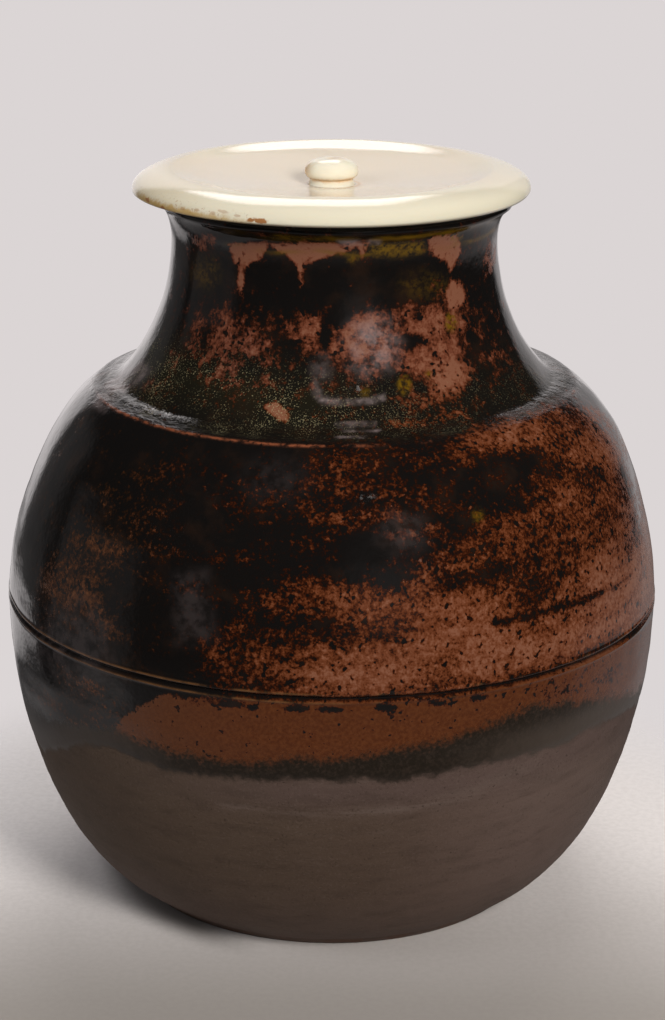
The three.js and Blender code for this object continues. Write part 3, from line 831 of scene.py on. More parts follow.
# Noises: size of the lumps in mm, detail and roughness, and for some how far they are drawn out round the
# jar, which is 0 for not at all, and their shift
NOISES = {
    "fine crystals": (0.5, 1.5, 0.5),
    "crystal grain": (0.22, 1.0, 0.5, 0, 0, 0, 80),
    "crystal lumps": (1.4, 2.0, 0.5, 1.3, 0, 9, 40),
    "crystal blotches": (3.4, 2.0, 0.5, 2.6, 40, 0, 0),
    "holes": (0.75, 1.0, 0.5, 0, 70, 0, 0),
    "buds": (0.6, 0.5, 0.5, 0, 0, 60, 0),
    "band grain": (0.4, 2.0, 0.6, 0, 0, 5, 0),
    "faint brown": (5.0, 3.0, 0.6, 0, 0, 30, 50),
    "broken edges": (3.0, 3.0, 0.65, 0, 0, 70, 0),
    "beads": (0.6, 2.0, 0.6, 0, 0, 80, 0),
    "clay cloud": (9.0, 3.0, 0.5, 0, 10, 20, 30),
    "clay grain": (0.3, 3.0, 0.7),
    "clay mottle": (1.6, 3.0, 0.6, 2.5, 60, 5, 0),
    "clay lines": (0.6, 2.0, 0.6, 9, 5, 0, 0),
    "foot rust": (2.5, 2.0, 0.5, 0, 90, 0, 0),
    "olive dapple": (0.55, 2.0, 0.6, 0, 0, 12, 0),
    "lip wander": (5.0, 2.0, 0.5, 0, 0, 0, 22),
    "lip patches": (1.6, 3.0, 0.6, 4.0, 0, 0, 23),
    "neck cloud": (4.0, 2.0, 0.5, 0, 8, 3, 0),
    "neck glitter": (0.17, 1.0, 0.6, 0, 7, 7, 7),
    "glaze speck": (0.45, 2.0, 0.6, 0, 0, 0, 31),
    "glaze wander": (2.4, 3.0, 0.6),
    "glaze mottle": (1.8, 3.0, 0.6, 0, 0, 0, 50),
    "gutter streaks": (0.5, 3.0, 0.6, 6.0, 0, 0, 90),
    "gutter wrinkles": (0.35, 3.0, 0.65, 5.0, 0, 0, 3),
    "glaze skin": (0.8, 1.0, 0.5),
    "brown grit": (0.22, 2.0, 0.6),
    "ivory cloud": (11.0, 2.0, 0.5, 0, 3, 0, 0),
    "ivory grain": (0.5, 3.0, 0.6),
    "ivory ragged": (0.7, 3.0, 0.6),
    "ivory wander": (3.0, 2.0, 0.5),
    "ivory dust": (0.3, 2.0, 0.6, 0, 0, 3, 0),
    "knob waist": (0.8, 2.0, 0.5),
    "knob side": (1.2, 2.0, 0.5),
    "gold worn": (1.6, 4.0, 0.65),
    "gold tone": (5.0, 2.0, 0.5, 0, 0, 0, 9),
    "gold creases": (0.6, 3.0, 0.6),
    "floor grain": (0.8, 2.0, 0.6),
}
NOISE_GAIN = 9.0
DRUM_RADIUS = 30


class Graph:
    """Short calls that add nodes to a tree."""

    def __init__(self, tree):
        self.tree = tree

    def put(self, socket, value):
        if isinstance(value, bpy.types.NodeSocket):
            self.tree.links.new(value, socket)
        else:
            socket.default_value = value

    def node(self, kind, inputs=None, **settings):
        """New node. inputs gives values or sockets for its inputs, by name or number."""
        made = self.tree.nodes.new("ShaderNode" + kind)
        for name, value in settings.items():
            setattr(made, name, value)
        for socket, value in (inputs or {}).items():
            self.put(made.inputs[socket], value)
        return made

    def math(self, operation, *values):
        return self.node("Math", dict(enumerate(values)), operation=operation).outputs[0]

    def fold(self, operation, values):
        total = values[0]
        for value in values[1:]:
            total = self.math(operation, total, value)
        return total

    def add(self, *values):
        return self.fold("ADD", values)

    def times(self, *values):
        return self.fold("MULTIPLY", values)

    def most(self, *values):
        return self.fold("MAXIMUM", values)

    def length(self, *values):
        return self.math("SQRT", self.add(*(self.times(value, value) for value in values)))

    def vector(self, operation, inputs):
        return self.node("VectorMath", inputs, operation=operation).outputs["Vector"]

    def split(self, vector):
        return self.node("SeparateXYZ", {0: vector}).outputs

    def step(self, value, low, high, start=0.0, end=1.0, way="SMOOTHSTEP"):
        """Runs from start to end while value runs from low to high, gently at both ends."""
        inputs = {"Value": value, "From Min": low, "From Max": high, "To Min": start, "To Max": end}
        return self.node("MapRange", inputs, interpolation_type=way).outputs["Result"]

    def hump(self, value, width, at=0.0):
        """1 where value is at the place, and 0 from about twice the width off."""
        share = self.math("DIVIDE", self.add(value, -at), width)
        return self.math("EXPONENT", self.times(share, share, -1.0))

    def blend(self, share, first, second):
        return self.node("Mix", {0: share, 2: first, 3: second}, data_type="FLOAT").outputs[0]

    def mix(self, share, first, second):
        inputs = {0: share, 6: as_colour(first), 7: as_colour(second)}
        return self.node("Mix", inputs, data_type="RGBA").outputs[2]

    def mix_shader(self, share, first, second):
        return self.node("MixShader", {0: share, 1: first, 2: second}).outputs[0]

    def coats(self, colour, *coats):
        """Colour under coats: each is a tone and shares whose product says how far it covers."""
        for tone, *shares in coats:
            colour = self.mix(self.times(*shares), colour, tone)
        return colour

    def ramp(self, value, levels, tones):
        """Colour by value: one tone at each level, and straight between them."""
        low, high = levels[0], levels[-1]
        made = self.node("ValToRGB", {"Fac": self.step(value, low, high, way="LINEAR")})
        stops = made.color_ramp.elements
        while len(stops) < len(tones):
            stops.new(1.0)
        for stop, level, tone in zip(stops, levels, tones):
            stop.position = (level - low) / (high - low)
            stop.color = srgb(*tone)
        return made.outputs["Color"]


class Material(Graph):
    """A piece's material. Places and sizes in it are mm."""

    def __init__(self, name):
        self.material = bpy.data.materials.new(name)
        self.material.use_nodes = True
        super().__init__(self.material.node_tree)
        self.shader = self.tree.nodes["Principled BSDF"]
        coordinates = self.node("TexCoord").outputs["Object"]
        self.place = self.vector("SCALE", {0: coordinates, "Scale": 1 / MM})
        self.x, self.y, self.z = self.split(self.place)
        self.reach = self.length(self.x, self.y)

    def number(self, name):
        """One of the numbers that the piece keeps per vertex."""
        return self.node("Attribute", attribute_name=name).outputs["Fac"]

    def round_jar(self, stretch):
        """Place on a drum, where noise is drawn out round the jar by the stretch."""
        flat = self.node("CombineXYZ", {"X": self.x, "Y": self.y}).outputs["Vector"]
        up = self.node("CombineXYZ", {"Z": self.z}).outputs["Vector"]
        way = self.vector("NORMALIZE", {0: flat})
        wide = self.vector("SCALE", {0: way, "Scale": DRUM_RADIUS / stretch})
        return self.vector("ADD", {0: wide, 1: up})

    def noise(self, name, amount=1.0, place=None):
        """One of the noises: cloudy, about 0, with a spread of about the amount."""
        size, detail, rough, *more = NOISES[name]
        stretch, *shift = more or (0, 0, 0, 0)
        place = place or (self.round_jar(stretch) if stretch else self.place)
        inputs = {"Vector": self.vector("ADD", {0: place, 1: shift}),
                  "Scale": 1 / size, "Detail": detail, "Roughness": rough}
        cloud = self.node("TexNoise", inputs).outputs["Fac"]
        return self.times(self.add(cloud, -0.5), NOISE_GAIN * amount)

    def relief(self, *heights):
        """Small relief, from heights in mm that add up."""
        made = self.node("Bump", {"Height": self.add(*heights), "Strength": 1.0, "Distance": MM})
        self.put(self.shader.inputs["Normal"], made.outputs["Normal"])

    def finish(self, piece, colour, roughness, more=()):
        """Gives the shader its inputs and the piece this material."""
        for name, value in {"Base Color": colour, "Roughness": roughness, **dict(more)}.items():
            self.put(self.shader.inputs[name], value)
        piece.data.materials.append(self.material)


# Display colours, 0 to 255
BLACK_GLAZE = (17, 15, 14)
BLACK_BROWN = (36, 24, 17)
# Glaze by how many brown crystals it holds, from black to solid brown
CRYSTAL_LEVELS = (-2.0, -1.1, -0.5, 0.1, 0.8, 1.6, 2.6, 3.6)
BODY_TONES = (
    (17, 15, 14), (22, 14, 11), (40, 16, 7), (57, 25, 10),
    (81, 39, 17), (98, 52, 29), (110, 64, 42), (122, 78, 57))
NECK_TONES = (
    (17, 15, 14), (23, 15, 12), (41, 19, 11), (58, 28, 16),
    (78, 39, 23), (98, 52, 34), (111, 65, 46), (122, 78, 58))
# Painted shade: darker, duller copies of the tones for the left side, away from the key light
PAINTED_SHADE_LEFT_TONES = (
    (17, 15, 14), (23, 16, 12), (38, 23, 13), (51, 29, 16),
    (66, 38, 20), (80, 47, 26), (98, 60, 34), (108, 68, 42))
BAND_DARK = (72, 34, 12)
BAND_LIGHT = (88, 47, 21)
# Painted reflection: the band paler and greyer on the left
BAND_PAINTED_SHEEN_LEFT = (84, 50, 30)
BROWN_RIDGE = (134, 76, 50)
OCHRE_EDGE = (100, 68, 40)
OLIVE_GOLD = (102, 76, 13)
OLIVE_DEEP = (36, 33, 20)
# Tone of the painted reflections and sheen on the glaze
PAINTED_REFLECTION_TONE = (150, 134, 132)
OLIVE_BLACK = (30, 23, 15)
# Painted reflection: grey sheen on the thin olive glaze at both sides
OLIVE_PAINTED_SHEEN = (66, 56, 48)
PALE_GLINT = (168, 158, 120)
CLAY = (76, 61, 52)
# Painted light: the clay's tone on its left side
CLAY_PAINTED_LEFT_SIDE = (80, 66, 55)
CLAY_SHADE = (48, 38, 31)
CLAY_PURPLE = (82, 67, 62)
# Painted light: lighter clay on the right and towards the bottom
CLAY_PAINTED_LIGHT = (92, 76, 69)
CLAY_PALE = (98, 84, 77)
CLAY_RUST = (84, 48, 26)
IVORY = (219, 212, 190)
IVORY_YELLOW = (217, 211, 188)
IVORY_PINK = (222, 209, 188)
IVORY_OCHRE = (184, 150, 86)
IVORY_STAIN = (156, 108, 66)
IVORY_TAN = (206, 160, 104)
# Painted light: a lighter ivory for the knob, for the light it catches
IVORY_PAINTED_LIGHT = (236, 230, 209)
GOLD = (205, 160, 74)
GOLD_WORN = (120, 84, 50)

# Where the looks of the jar change, in mm: ranges from none to all, or width and place. Heights:
NECK_CRYSTALS_START = (64, 70)
NECK_TONES_START = (63, 71)
BUDS_END = (70, 66)
LOW_NECK_HEIGHT, LOW_NECK_WIDTH, LOW_NECK_TILT = 66.6, 3.2, 0.05
CLAY_FOOT = (1, 9)
PAINTED_LIGHT_LOW = (14, 2)
RUST_AT_FOOT = (1.5, 0.1)
# Across, from the middle:
PAINTED_SHADE_LEFT_START = (-12, -26)
PAINTED_SHEEN_BAND_START = (-4, -26)
GLITTER_THINS = (14, -12)
EDGES_FADE_RIGHT = (-14, 10)
RIDGE_FADES_LEFT = (-29, -25)
LIP_BAND_START = (-13, -7)
CLAY_LIT = (-30, 26)
PAINTED_LIGHT_RIGHT = (2, 24)
CLAY_PURPLE_START = (-26, 0)
PAINTED_SHEEN_SIDES = (12, 30)
# And from the cut line, the ridge, the lip and the glaze's edge, up the wall:
BAND_START = (0.3, -0.8)
CUT_LINE_WIDTH = 0.18
CUT_EDGE_PLACE, CUT_EDGE_WIDTH = 0.5, 0.12
RIDGE_TOP_WIDTH = 0.2
LOW_NECK_START = (0.2, 1.2)
LIP_LINE, LIP_RIM = (0.5, 0.9), (0.3, 2.9)
GUTTER_POLISH, GUTTER_DULL, GUTTER_WRINKLES = (1.1, 0.9), (1.7, 1.4), (2.0, 1.2)
CLAY_PURPLE_BELOW = (2.6, -1.6)
PAINTED_SHEEN_NEAR_EDGE = (5.0, 1.5)
# Crystals: noise, and its weight on the body and on the neck
CRYSTAL_WEIGHTS = (
    ("fine crystals", 0.7, 0.65), ("crystal grain", 0.4, 0.4),
    ("crystal lumps", 0.5, 1.1), ("crystal blotches", 0.6, 0.35))


def crystals(g, level):
    """How far the glaze has turned brown: 0 is half, 1 mostly brown and -1 mostly black."""
    on_neck = g.step(g.z, *NECK_CRYSTALS_START)
    uneven = [g.times(g.noise(name), g.blend(on_neck, body, neck)) for name, body, neck in CRYSTAL_WEIGHTS]
    holes = g.step(g.noise("holes"), -0.8, -2.2)
    buds = g.times(g.step(g.noise("buds"), 1.5, 2.3), g.step(g.z, *BUDS_END))
    return g.add(level, *uneven, g.times(holes, -3.8), g.times(buds, 1.3))


def brown_glaze(g, level, cut_line):
    """Brown crystals over black glaze: dark red where they are thin, lighter where thick."""
    chance = crystals(g, level)
    body, left, neck = (g.ramp(chance, CRYSTAL_LEVELS, t) for t in (BODY_TONES, PAINTED_SHADE_LEFT_TONES, NECK_TONES))
    band = g.mix(g.step(g.noise("band grain"), -2, 2), BAND_DARK, BAND_LIGHT)
    # the band turns paler and greyer on the left: a painted reflection
    band = g.coats(band, (BAND_PAINTED_SHEEN_LEFT, g.step(g.x, *PAINTED_SHEEN_BAND_START), 0.7))
    colour = g.coats(
        body,
        # darker tones on the left: painted shade
        (left, g.step(g.x, *PAINTED_SHADE_LEFT_START)),
        (neck, g.step(g.z, *NECK_TONES_START)),
        (BLACK_BROWN, g.step(chance, -0.7, -1.5), g.step(g.noise("faint brown"), 0.0, 2.2), 0.7),
        (band, g.step(cut_line, *BAND_START), g.step(chance, 0.0, 1.4)))
    return colour, g.step(chance, -0.4, 0.6)


def thin_edges(g, cut_line, ridge):
    """Where the glaze breaks to a lighter brown: both edges of the cut line, and the ridge."""
    broken = g.noise("broken edges")
    right = g.step(g.x, *EDGES_FADE_RIGHT)
    edge = g.most(*(g.hump(cut_line, CUT_EDGE_WIDTH, side * CUT_EDGE_PLACE) for side in (1, -1)))
    edge = g.times(edge, g.step(g.add(broken, g.times(right, -1.6)), -2.0, 1.0), 0.9)
    top = g.hump(g.add(ridge, g.times(broken, 0.04)), RIDGE_TOP_WIDTH)
    beads = g.step(g.noise("beads"), -1.6, 0.6, 0.1, 1.0)
    whole = g.step(g.add(broken, g.times(right, -2.4)), -2.2, -0.2)
    return edge, g.times(top, beads, whole, g.step(g.x, *RIDGE_FADES_LEFT))


def clay_colour(g, edge, grain):
    """Bare clay, darker on the left and lighter on the right and towards the bottom as painted light;
    purple under the glaze, wiped in arcs and speckled.
    """
    mottle, lines = g.noise("clay mottle"), g.noise("clay lines")
    uneven_x = g.add(g.x, g.noise("clay cloud", 2.5), g.times(mottle, 1.2))
    return g.coats(
        # painted light: the left-side tone, then lighter on the right and towards the bottom
        g.mix(g.step(uneven_x, *CLAY_LIT), CLAY_PAINTED_LEFT_SIDE, CLAY),
        (CLAY_PAINTED_LIGHT, g.step(g.x, *PAINTED_LIGHT_RIGHT), g.step(g.z, *CLAY_FOOT)),
        (CLAY_PAINTED_LIGHT, g.step(g.z, *PAINTED_LIGHT_LOW), 0.55),
        (CLAY_PURPLE, g.hump(edge, *CLAY_PURPLE_BELOW), g.step(g.x, *CLAY_PURPLE_START), 0.8),
        (CLAY_SHADE, g.step(mottle, -0.5, 2.5), 0.3),
        (CLAY_PALE, g.step(lines, 0.6, 2.6), 0.14),
        (CLAY_SHADE, g.step(lines, -0.6, -2.6), 0.18),
        (CLAY_PALE, g.number("wiped"), g.step(g.add(lines, g.times(grain, 0.35)), -1.6, 1.2), 0.62),
        (CLAY_PALE, g.step(grain, 0.2, 2.0), 0.4),
        (CLAY_SHADE, g.step(grain, -0.7, -2.2), 0.6),
        (CLAY_RUST, g.step(g.z, *RUST_AT_FOOT), g.step(g.noise("foot rust"), -0.8, 1.2), 0.6))


def olive_marks(g, mottle):
    """Olive-gold spots, and the patchy bright band under the lip."""
    dapple = g.add(g.noise("olive dapple"), g.times(mottle, 0.6))
    olive = g.times(g.number("olive"), g.step(dapple, -1.4, 1.6, 0.1, 1.0))
    lip, wander = g.number("lip"), g.noise("lip wander")
    line = g.hump(g.add(lip, g.times(wander, 0.15)), *LIP_LINE)
    rim = g.times(g.hump(g.add(lip, g.times(wander, 0.2)), *LIP_RIM), 0.6)
    along = g.step(g.add(g.x, g.times(wander, 2.0)), *LIP_BAND_START)
    patchy = g.step(g.noise("lip patches"), -1.4, 1.4, 0.05, 1.0)
    return g.most(olive, g.times(g.most(line, rim), along, patchy))


def neck_glitter(g, ridge):
    """Olive low on the neck, with fine pale specks, painted glints of its crystals, that thin out to the
    right.
    """
    cloud = g.noise("neck cloud")
    height = g.add(g.z, g.times(g.x, LOW_NECK_TILT), g.times(cloud, 0.6))
    low_neck = g.times(g.hump(height, LOW_NECK_WIDTH, LOW_NECK_HEIGHT),
                       g.step(g.add(g.x, g.times(cloud, 3.0)), *GLITTER_THINS, 0.3, 1.0),
                       g.step(ridge, *LOW_NECK_START))
    bright = g.step(g.add(g.noise("neck glitter"), g.times(cloud, 0.4)), 0.9, 2.2)
    return low_neck, g.times(bright, low_neck)


def glaze_colour(g, edge, speck, wander):
    """Colour of the glaze, how brown it is, and how far its brown coat reaches."""
    cut_line, ridge, mottle = g.number("cut_line"), g.number("ridge"), g.noise("glaze mottle")
    colour, brown = brown_glaze(g, g.number("level"), cut_line)
    ochre, ridge_top = thin_edges(g, cut_line, ridge)
    low_neck, glitter = neck_glitter(g, ridge)
    colour = g.coats(
        colour,
        (BLACK_GLAZE, g.hump(cut_line, CUT_LINE_WIDTH)),
        (OCHRE_EDGE, ochre),
        (BROWN_RIDGE, ridge_top),
        (OLIVE_DEEP, low_neck, g.step(brown, 0.7, 0.2), 0.5),
        # painted glints on the crystals low on the neck
        (PALE_GLINT, glitter, 0.6),
        (OLIVE_GOLD, olive_marks(g, mottle)),
        # painted reflections, sheen and glints, mottled
        (PAINTED_REFLECTION_TONE, g.number("haze"), g.step(mottle, -1.4, 1.4, 0.15, 1.25)))
    # the olive black turns grey towards both sides near the glaze's edge: a painted reflection
    aside = g.step(g.math("ABSOLUTE", g.add(g.x, g.times(wander, 1.5), 2.0)), *PAINTED_SHEEN_SIDES)
    thin = g.coats(
        OLIVE_BLACK,
        (CLAY, g.step(speck, -1, 2), 0.2),
        (OLIVE_PAINTED_SHEEN, aside, g.step(edge, *PAINTED_SHEEN_NEAR_EDGE), 0.8))
    coat = g.step(g.add(g.number("brown_edge"), g.times(wander, 0.25), g.times(speck, 0.3)), -0.8, 0.8)
    return g.mix(coat, thin, colour), brown, coat


def stoneware(jar):
    g = Material("glazed stoneware")
    edge, ridge = g.number("edge"), g.number("ridge")
    speck, wander, grain = g.noise("glaze speck"), g.noise("glaze wander"), g.noise("clay grain")
    glaze, brown, coat = glaze_colour(g, edge, speck, wander)
    glazed = g.step(g.add(edge, g.times(wander, 0.3), g.times(speck, 0.12)), -0.5, 0.5)
    bare = g.math("SUBTRACT", 1.0, glazed)
    colour = g.mix(glazed, clay_colour(g, edge, grain), glaze)
    polish = g.blend(coat, 0.45, g.blend(brown, 0.09, 0.24))
    polish = g.add(polish, g.times(g.hump(ridge, *GUTTER_POLISH), 0.2))
    streaks = g.step(g.noise("gutter streaks"), -1.6, 1.0, 1.0, 0.3)
    dull = g.times(g.hump(ridge, *GUTTER_DULL), streaks, 0.85)
    shine = g.times(g.blend(glazed, 0.25, 0.5), g.math("SUBTRACT", 1.0, dull))
    g.relief(g.times(g.step(grain, -1.2, -2.4), bare, -0.04),
             g.times(grain, bare, 0.006),
             g.times(g.noise("glaze skin", 0.0022), glazed),
             g.times(g.noise("brown grit", 0.003), brown),
             g.times(g.noise("gutter wrinkles", 0.03), g.hump(ridge, *GUTTER_WRINKLES)))
    g.finish(jar, colour, g.blend(glazed, 0.78, polish), {"Specular IOR Level": shine})


# Ivory. Its grain is drawn out along the depth
GRAIN_STRETCH = (1.0, 0.16, 1.0)
# Stains and chips on the front of the rim in mm: across, height over the seat, half width, half height,
# and strength
STAINS = (
    (-8.5, 0.75, 1.1, 0.3, 1.0), (-9.3, 0.7, 0.5, 0.24, 1.0), (-10.9, 1.05, 0.35, 0.14, 0.45),
    (-12.6, 1.3, 0.7, 0.12, 0.4), (-13.6, 1.0, 0.35, 0.2, 0.4), (-15.5, 1.05, 0.5, 0.14, 0.4),
    (-17.2, 0.9, 0.3, 0.15, 0.4), (-19.6, 0.45, 0.25, 0.22, 1.0), (-21.6, 0.7, 0.25, 0.22, 1.0),
)
# Ochre on the left of the plate, and what is soaked and dusted in front: ranges in mm
OCHRE_START = (-12, -23)
STAINED_FRONT, STAINED_ABOVE = (-3.0, -10.0), (0.0, 0.25)
STAINED_LEFT = (-3, -18)
SOAKED, DUSTED = (0.7, 0.1), (1.25, 0.5)
GRIME_WIDTH = 0.25
# On the knob: the dimple's reach and height, the waist's width, and the tan side, where tan is painted
# shade at the waist and on the left
DIMPLE_REACH, DIMPLE_HEIGHT = (1.6, 0.3), (2.5, 2.9)
WAIST_SHADE_WIDTH = 0.22
PAINTED_SHADE_KNOB_LEFT = (-2.4, -3.9)


def ivory_colour(g, rim):
    """Old ivory: yellower at the rim, pinker in the dish, with faint bent grain."""
    grain = g.noise("ivory grain", 1.0, g.vector("MULTIPLY", {0: g.place, 1: GRAIN_STRETCH}))
    outer = g.add(rim, g.noise("ivory cloud", 0.06))
    colour = g.coats(
        IVORY_PINK,
        (IVORY, g.step(outer, 0.6, 0.95)),
        (IVORY_YELLOW, g.step(rim, 0.9, 1.0), 0.6),
        (IVORY_PINK, g.step(grain, -0.4, 2.4), 0.12))
    return colour, grain


def ivory_finish(g, piece, colour, grain):
    g.relief(g.times(grain, 0.0012))
    g.finish(piece, colour, g.step(grain, -2, 2, 0.08, 0.13), {
        "Subsurface Weight": 0.12, "Subsurface Radius": (1.0, 0.75, 0.5), "Subsurface Scale": MM})


def stain(g, height, ragged, x, up, half_width, half_height, strength):
    across = g.math("DIVIDE", g.add(g.x, -x), half_width)
    rise = g.math("DIVIDE", g.add(height, -up), half_height)
    return g.times(g.step(g.add(g.length(across, rise), g.times(ragged, 0.3)), 1.2, 0.6), strength)


def ivory_plate(plate):
    g = Material("ivory plate")
    colour, grain = ivory_colour(g, g.math("DIVIDE", g.reach, LID_RADIUS))
    height, ragged = g.add(g.z, -MOUTH_HEIGHT), g.noise("ivory ragged")
    front = g.times(g.step(g.y, *STAINED_FRONT), g.step(height, *STAINED_ABOVE))
    left = g.step(g.add(g.x, g.noise("ivory wander", 1.2)), *STAINED_LEFT)
    soaked = g.step(g.add(height, g.times(ragged, 0.12), g.times(left, -0.55)), *SOAKED)
    dusted = g.step(g.add(height, g.times(left, -0.9)), *DUSTED)
    dust = g.step(g.add(g.noise("ivory dust"), g.times(ragged, 0.4)), 1.0, 1.9)
    colour = g.coats(
        colour,
        (IVORY_OCHRE, g.step(g.x, *OCHRE_START), 0.22),
        (IVORY_OCHRE, soaked, left, front, 0.9),
        (IVORY_STAIN, dusted, dust, g.step(left, 0.1, 0.5), front, 0.5),
        *((IVORY_STAIN, stain(g, height, ragged, *spot), front) for spot in STAINS),
        (IVORY_TAN, g.hump(g.reach, GRIME_WIDTH, KNOB_FOOT_RADIUS), 0.5))
    ivory_finish(g, plate, colour, grain)


def ivory_knob(knob):
    """Knob, painted lighter for the light it catches: grime in the dimple, and tan at the waist and on the
    left as painted shade.
    """
    g = Material("ivory knob")
    colour, grain = ivory_colour(g, 0.9)
    height = g.add(g.z, -MOUTH_HEIGHT - LID_DISH_HEIGHT)
    dimple = g.times(g.step(g.reach, *DIMPLE_REACH), g.step(height, *DIMPLE_HEIGHT))
    waist = g.hump(g.add(height, g.noise("knob waist", 0.05)), WAIST_SHADE_WIDTH, KNOB_WAIST_HEIGHT)
    side = g.step(g.add(g.x, g.noise("knob side", 0.2)), *PAINTED_SHADE_KNOB_LEFT)
    colour = g.coats(
        colour,
        # painted light: the knob's ivory made lighter
        (IVORY_PAINTED_LIGHT, 0.75),
        (IVORY_TAN, dimple, 0.5),
        # tan at the waist under the bun and on the left side: painted shade
        (IVORY_TAN, g.most(g.times(waist, 0.8), g.times(side, 0.7))))
    ivory_finish(g, knob, colour, grain)


def gold_leaf(leaf):
    g = Material("gold leaf")
    worn = g.noise("gold worn")
    colour = g.coats(GOLD, (GOLD_WORN, g.step(g.noise("gold tone"), -1.5, 1.5), 0.3),
                     (GOLD_WORN, g.step(worn, 1.4, 2.2)))
    g.relief(g.noise("gold creases", 0.006))
    g.finish(leaf, colour, g.step(worn, -1, 2, 0.28, 0.5), {"Metallic": 1.0})


# Room: floor, light and camera

BACKGROUND = (219, 213, 213)
AMBIENT = (238, 235, 235)
FLOOR_FRONT = (162, 156, 150)
# Painted light: the floor's lighter tone towards the back
FLOOR_PAINTED_LIGHT_BACK = (240, 235, 233)
FLOOR_SHADE = (140, 134, 128)
# Painted shadow: contact shadow on the floor at the left of the foot
FLOOR_PAINTED_SHADOW = (72, 66, 61)
FLOOR_RADIUS = 700.0
FLOOR_RINGS, FLOOR_TURNS = 40, 96
# The floor lightens backwards between two depths, as painted light, and melts into the background between
# the radii
FLOOR_LIGHTENS = (-46.0, 4.0)
FLOOR_ENDS = (42.0, 72.0)
FLOOR_ENDS_IN_FRONT = (78.0, 125.0)
REFLECTED_FLOOR_ENDS = (28.0, 60.0)
# Painted contact shadow at the left of the foot: its ranges of reach, across and depth
PAINTED_SHADOW_REACH, PAINTED_SHADOW_LEFT, PAINTED_SHADOW_FRONT = (31, 26), (-7, -17), (8, -2)


def build_floor():
    """Flat floor, lighter towards the back as painted light, where it melts into the background; a contact
    shadow is painted at the left of the foot.
    """
    floor = revolved("floor", path((0, 0), (FLOOR_RINGS, FLOOR_RADIUS, 0)), turns(FLOOR_TURNS))
    g = Material("floor")
    back = g.step(g.y, *FLOOR_LIGHTENS)
    colour = g.coats(
        FLOOR_FRONT,
        # painted light: lighter towards the back
        (FLOOR_PAINTED_LIGHT_BACK, back),
        (FLOOR_SHADE, g.step(g.noise("floor grain"), -2, 2), 0.12),
        # painted contact shadow at the left of the foot
        (FLOOR_PAINTED_SHADOW, g.step(g.reach, *PAINTED_SHADOW_REACH), g.step(g.x, *PAINTED_SHADOW_LEFT),
         g.step(g.y, *PAINTED_SHADOW_FRONT), 0.9))
    g.finish(floor, colour, 0.9)
    paths = g.node("LightPath").outputs
    behind = g.times(g.step(g.reach, *FLOOR_ENDS), back)
    far = g.most(behind, g.step(g.reach, *FLOOR_ENDS_IN_FRONT))
    gone = g.blend(paths["Is Glossy Ray"], far, g.step(g.reach, *REFLECTED_FLOOR_ENDS))
    clear = g.node("BsdfTransparent").outputs[0]
    fade = g.mix_shader(gone, g.shader.outputs[0], clear)
    g.put(g.tree.nodes["Material Output"].inputs["Surface"], fade)
    floor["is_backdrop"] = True


# Light on the object from all round, and what the glaze and the ivory mirror
ROOM_LIGHT = 0.22
DARK_ROOM = 0.02
# Panels: strength, softness of the edges, and low and high share of a unit way across to the right, up,
# and in depth, which is positive behind the jar
PANELS = {
    "softbox behind": (5.0, 0.04, (-0.22, 0.11), (0.47, 0.76), (0.3, 1.2)),
    "wall behind": (1.08, 0.035, (-0.80, 0.24), (-0.24, 0.42), (0.86, 1.2)),
    "wall at the left": (0.5, 0.05, (-0.80, -0.12), (-0.16, 0.44), (0.84, 1.2)),
    "wall at the right": (0.72, 0.05, (0.24, 0.80), (-0.24, 0.42), (0.82, 1.2)),
    "side room at the left, far": (0.13, 0.10, (-0.87, -0.30), (-0.32, 0.30), (0.50, 0.86)),
    "side room at the left": (0.16, 0.08, (-1.2, -0.87), (-0.6, 0.2), (-0.3, 0.40)),
    "floor at the right": (0.45, 0.06, (0.15, 1.2), (-1.2, -0.19), (0.05, 0.90)),
    "edge of the floor at the left": (1.1, 0.03, (-0.74, -0.20), (-0.37, -0.27), (0.55, 1.2)),
    "floor at the left": (0.3, 0.06, (-1.2, -0.15), (-1.2, -0.42), (-0.2, 1.2)),
    "floor in front": (0.16, 0.20, (-1.2, 1.2), (-1.2, -0.35), (-1.2, 0.05)),
    "front window": (0.25, 0.18, (0.12, 0.50), (0.0, 0.42), (-1.2, -0.5)),
}


def build_world():
    """Pale to the camera, a dark room with bright panels to mirrors, and even light to the rest."""
    world = bpy.data.worlds.new("room")
    world.use_nodes = True
    bpy.context.scene.world = world
    g = Graph(world.node_tree)
    g.tree.nodes.clear()

    def within(value, low, high, soft):
        return g.times(g.step(value, low - soft, low + soft), g.step(value, high + soft, high - soft))

    def background(colour, strength):
        return g.node("Background", {"Color": srgb(*colour), "Strength": strength}).outputs[0]

    across, depth, up = g.split(g.node("TexCoord").outputs["Generated"])
    total = DARK_ROOM
    for strength, soft, *ranges in PANELS.values():
        panel = (within(way, low, high, soft) for way, (low, high) in zip((across, up, depth), ranges))
        total = g.add(total, g.times(strength, *panel))
    paths = g.node("LightPath").outputs
    lit, mirrored = background(AMBIENT, ROOM_LIGHT), background(BACKGROUND, total)
    shown = g.mix_shader(paths["Is Glossy Ray"], lit, mirrored)
    shown = g.mix_shader(paths["Is Camera Ray"], shown, background(BACKGROUND, 1.0))
    g.node("OutputWorld", {"Surface": shown})


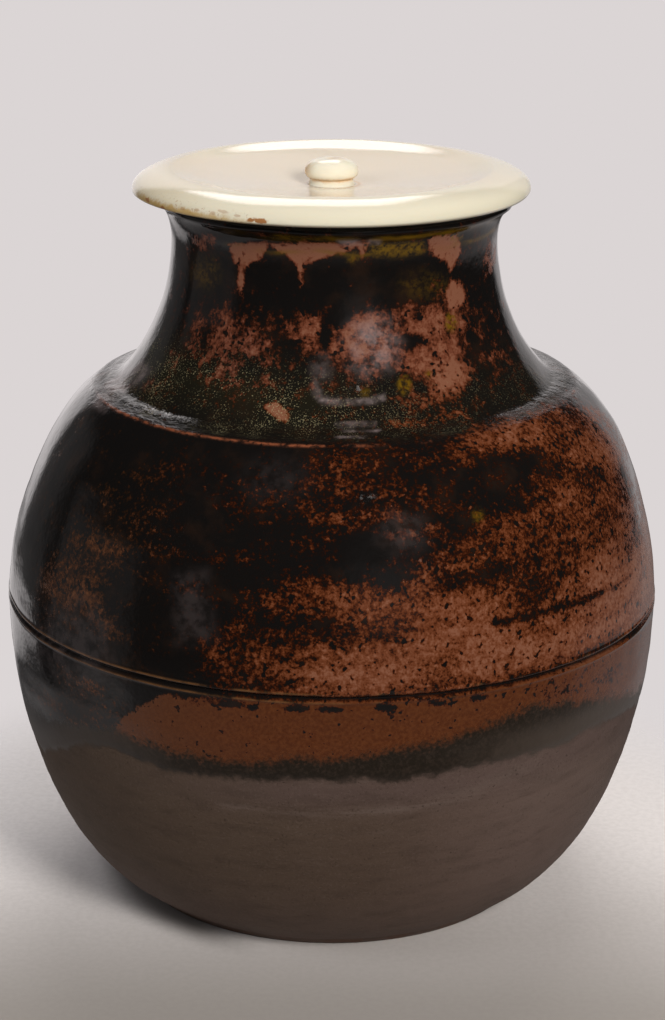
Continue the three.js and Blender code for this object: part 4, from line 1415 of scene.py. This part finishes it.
# Lamps: place in mm, width, height, power in watts, colour, and whether the glaze mirrors it
LAMPS = {
    "top softbox": ((40, 330, 520), 420, 300, 1.6, (255, 252, 250), False),
    "key": ((213, -407, 302), 150, 150, 2.42, (255, 251, 247), False),
    "front glint": ((114, -430, 505), 16, 16, 0.005, (255, 250, 245), True),
    "left fill": ((-420, -220, 330), 260, 260, 0.76, (250, 250, 255), False),
}


def build_lamps():
    middle = Vector((0, 0, TARGET_HEIGHT)) * MM
    for name, (place, width, height, power, colour, is_mirrored) in LAMPS.items():
        light = bpy.data.lights.new(name, "AREA")
        light.shape = "RECTANGLE"
        light.size = width * MM
        light.size_y = height * MM
        light.energy = power
        light.color = srgb(*colour)[:3]
        lamp = bpy.data.objects.new(name, light)
        lamp.location = Vector(place) * MM
        lamp.rotation_euler = (middle - lamp.location).to_track_quat("-Z", "Y").to_euler()
        lamp.visible_glossy = is_mirrored
        bpy.context.scene.collection.objects.link(lamp)


def build_camera():
    lens = bpy.data.cameras.new("photo view")
    lens.sensor_width = SENSOR_LENGTH
    lens.sensor_fit = "AUTO"
    lens.lens = CAMERA_FOCUS * SENSOR_LENGTH / FRAME_HEIGHT
    lens.clip_start = CLIP_START * MM
    camera = bpy.data.objects.new("photo view", lens)
    tilt = Matrix.Rotation(math.pi / 2 - CAMERA_ELEVATION, 4, "X")
    roll = Matrix.Rotation(CAMERA_ROLL, 4, "Z")
    camera.matrix_world = Matrix.Translation(Vector(CAMERA_PLACE) * MM) @ tilt @ roll
    bpy.context.scene.collection.objects.link(camera)
    bpy.context.scene.camera = camera


# Pieces in their places

PIECES = (
    (build_jar, stoneware, "jar", "jar_body", "glazed_stoneware"),
    (build_plate, ivory_plate, "lid", "lid_plate", "ivory"),
    (build_knob, ivory_knob, "lid", "lid_knob", "ivory"),
    (build_leaf, gold_leaf, "lid", "lid_gold_leaf", "gold_leaf"),
)

for build, give_material, body, node, slot in PIECES:
    made_piece = build()
    give_material(made_piece)
    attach(made_piece, body)
    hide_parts(node)

build_floor()
build_world()
build_lamps()
build_camera()

bpy.context.scene.view_settings.view_transform = "Standard"

boxes = [[list(corner) for corner in box] for box in (CAD_BOX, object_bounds())]
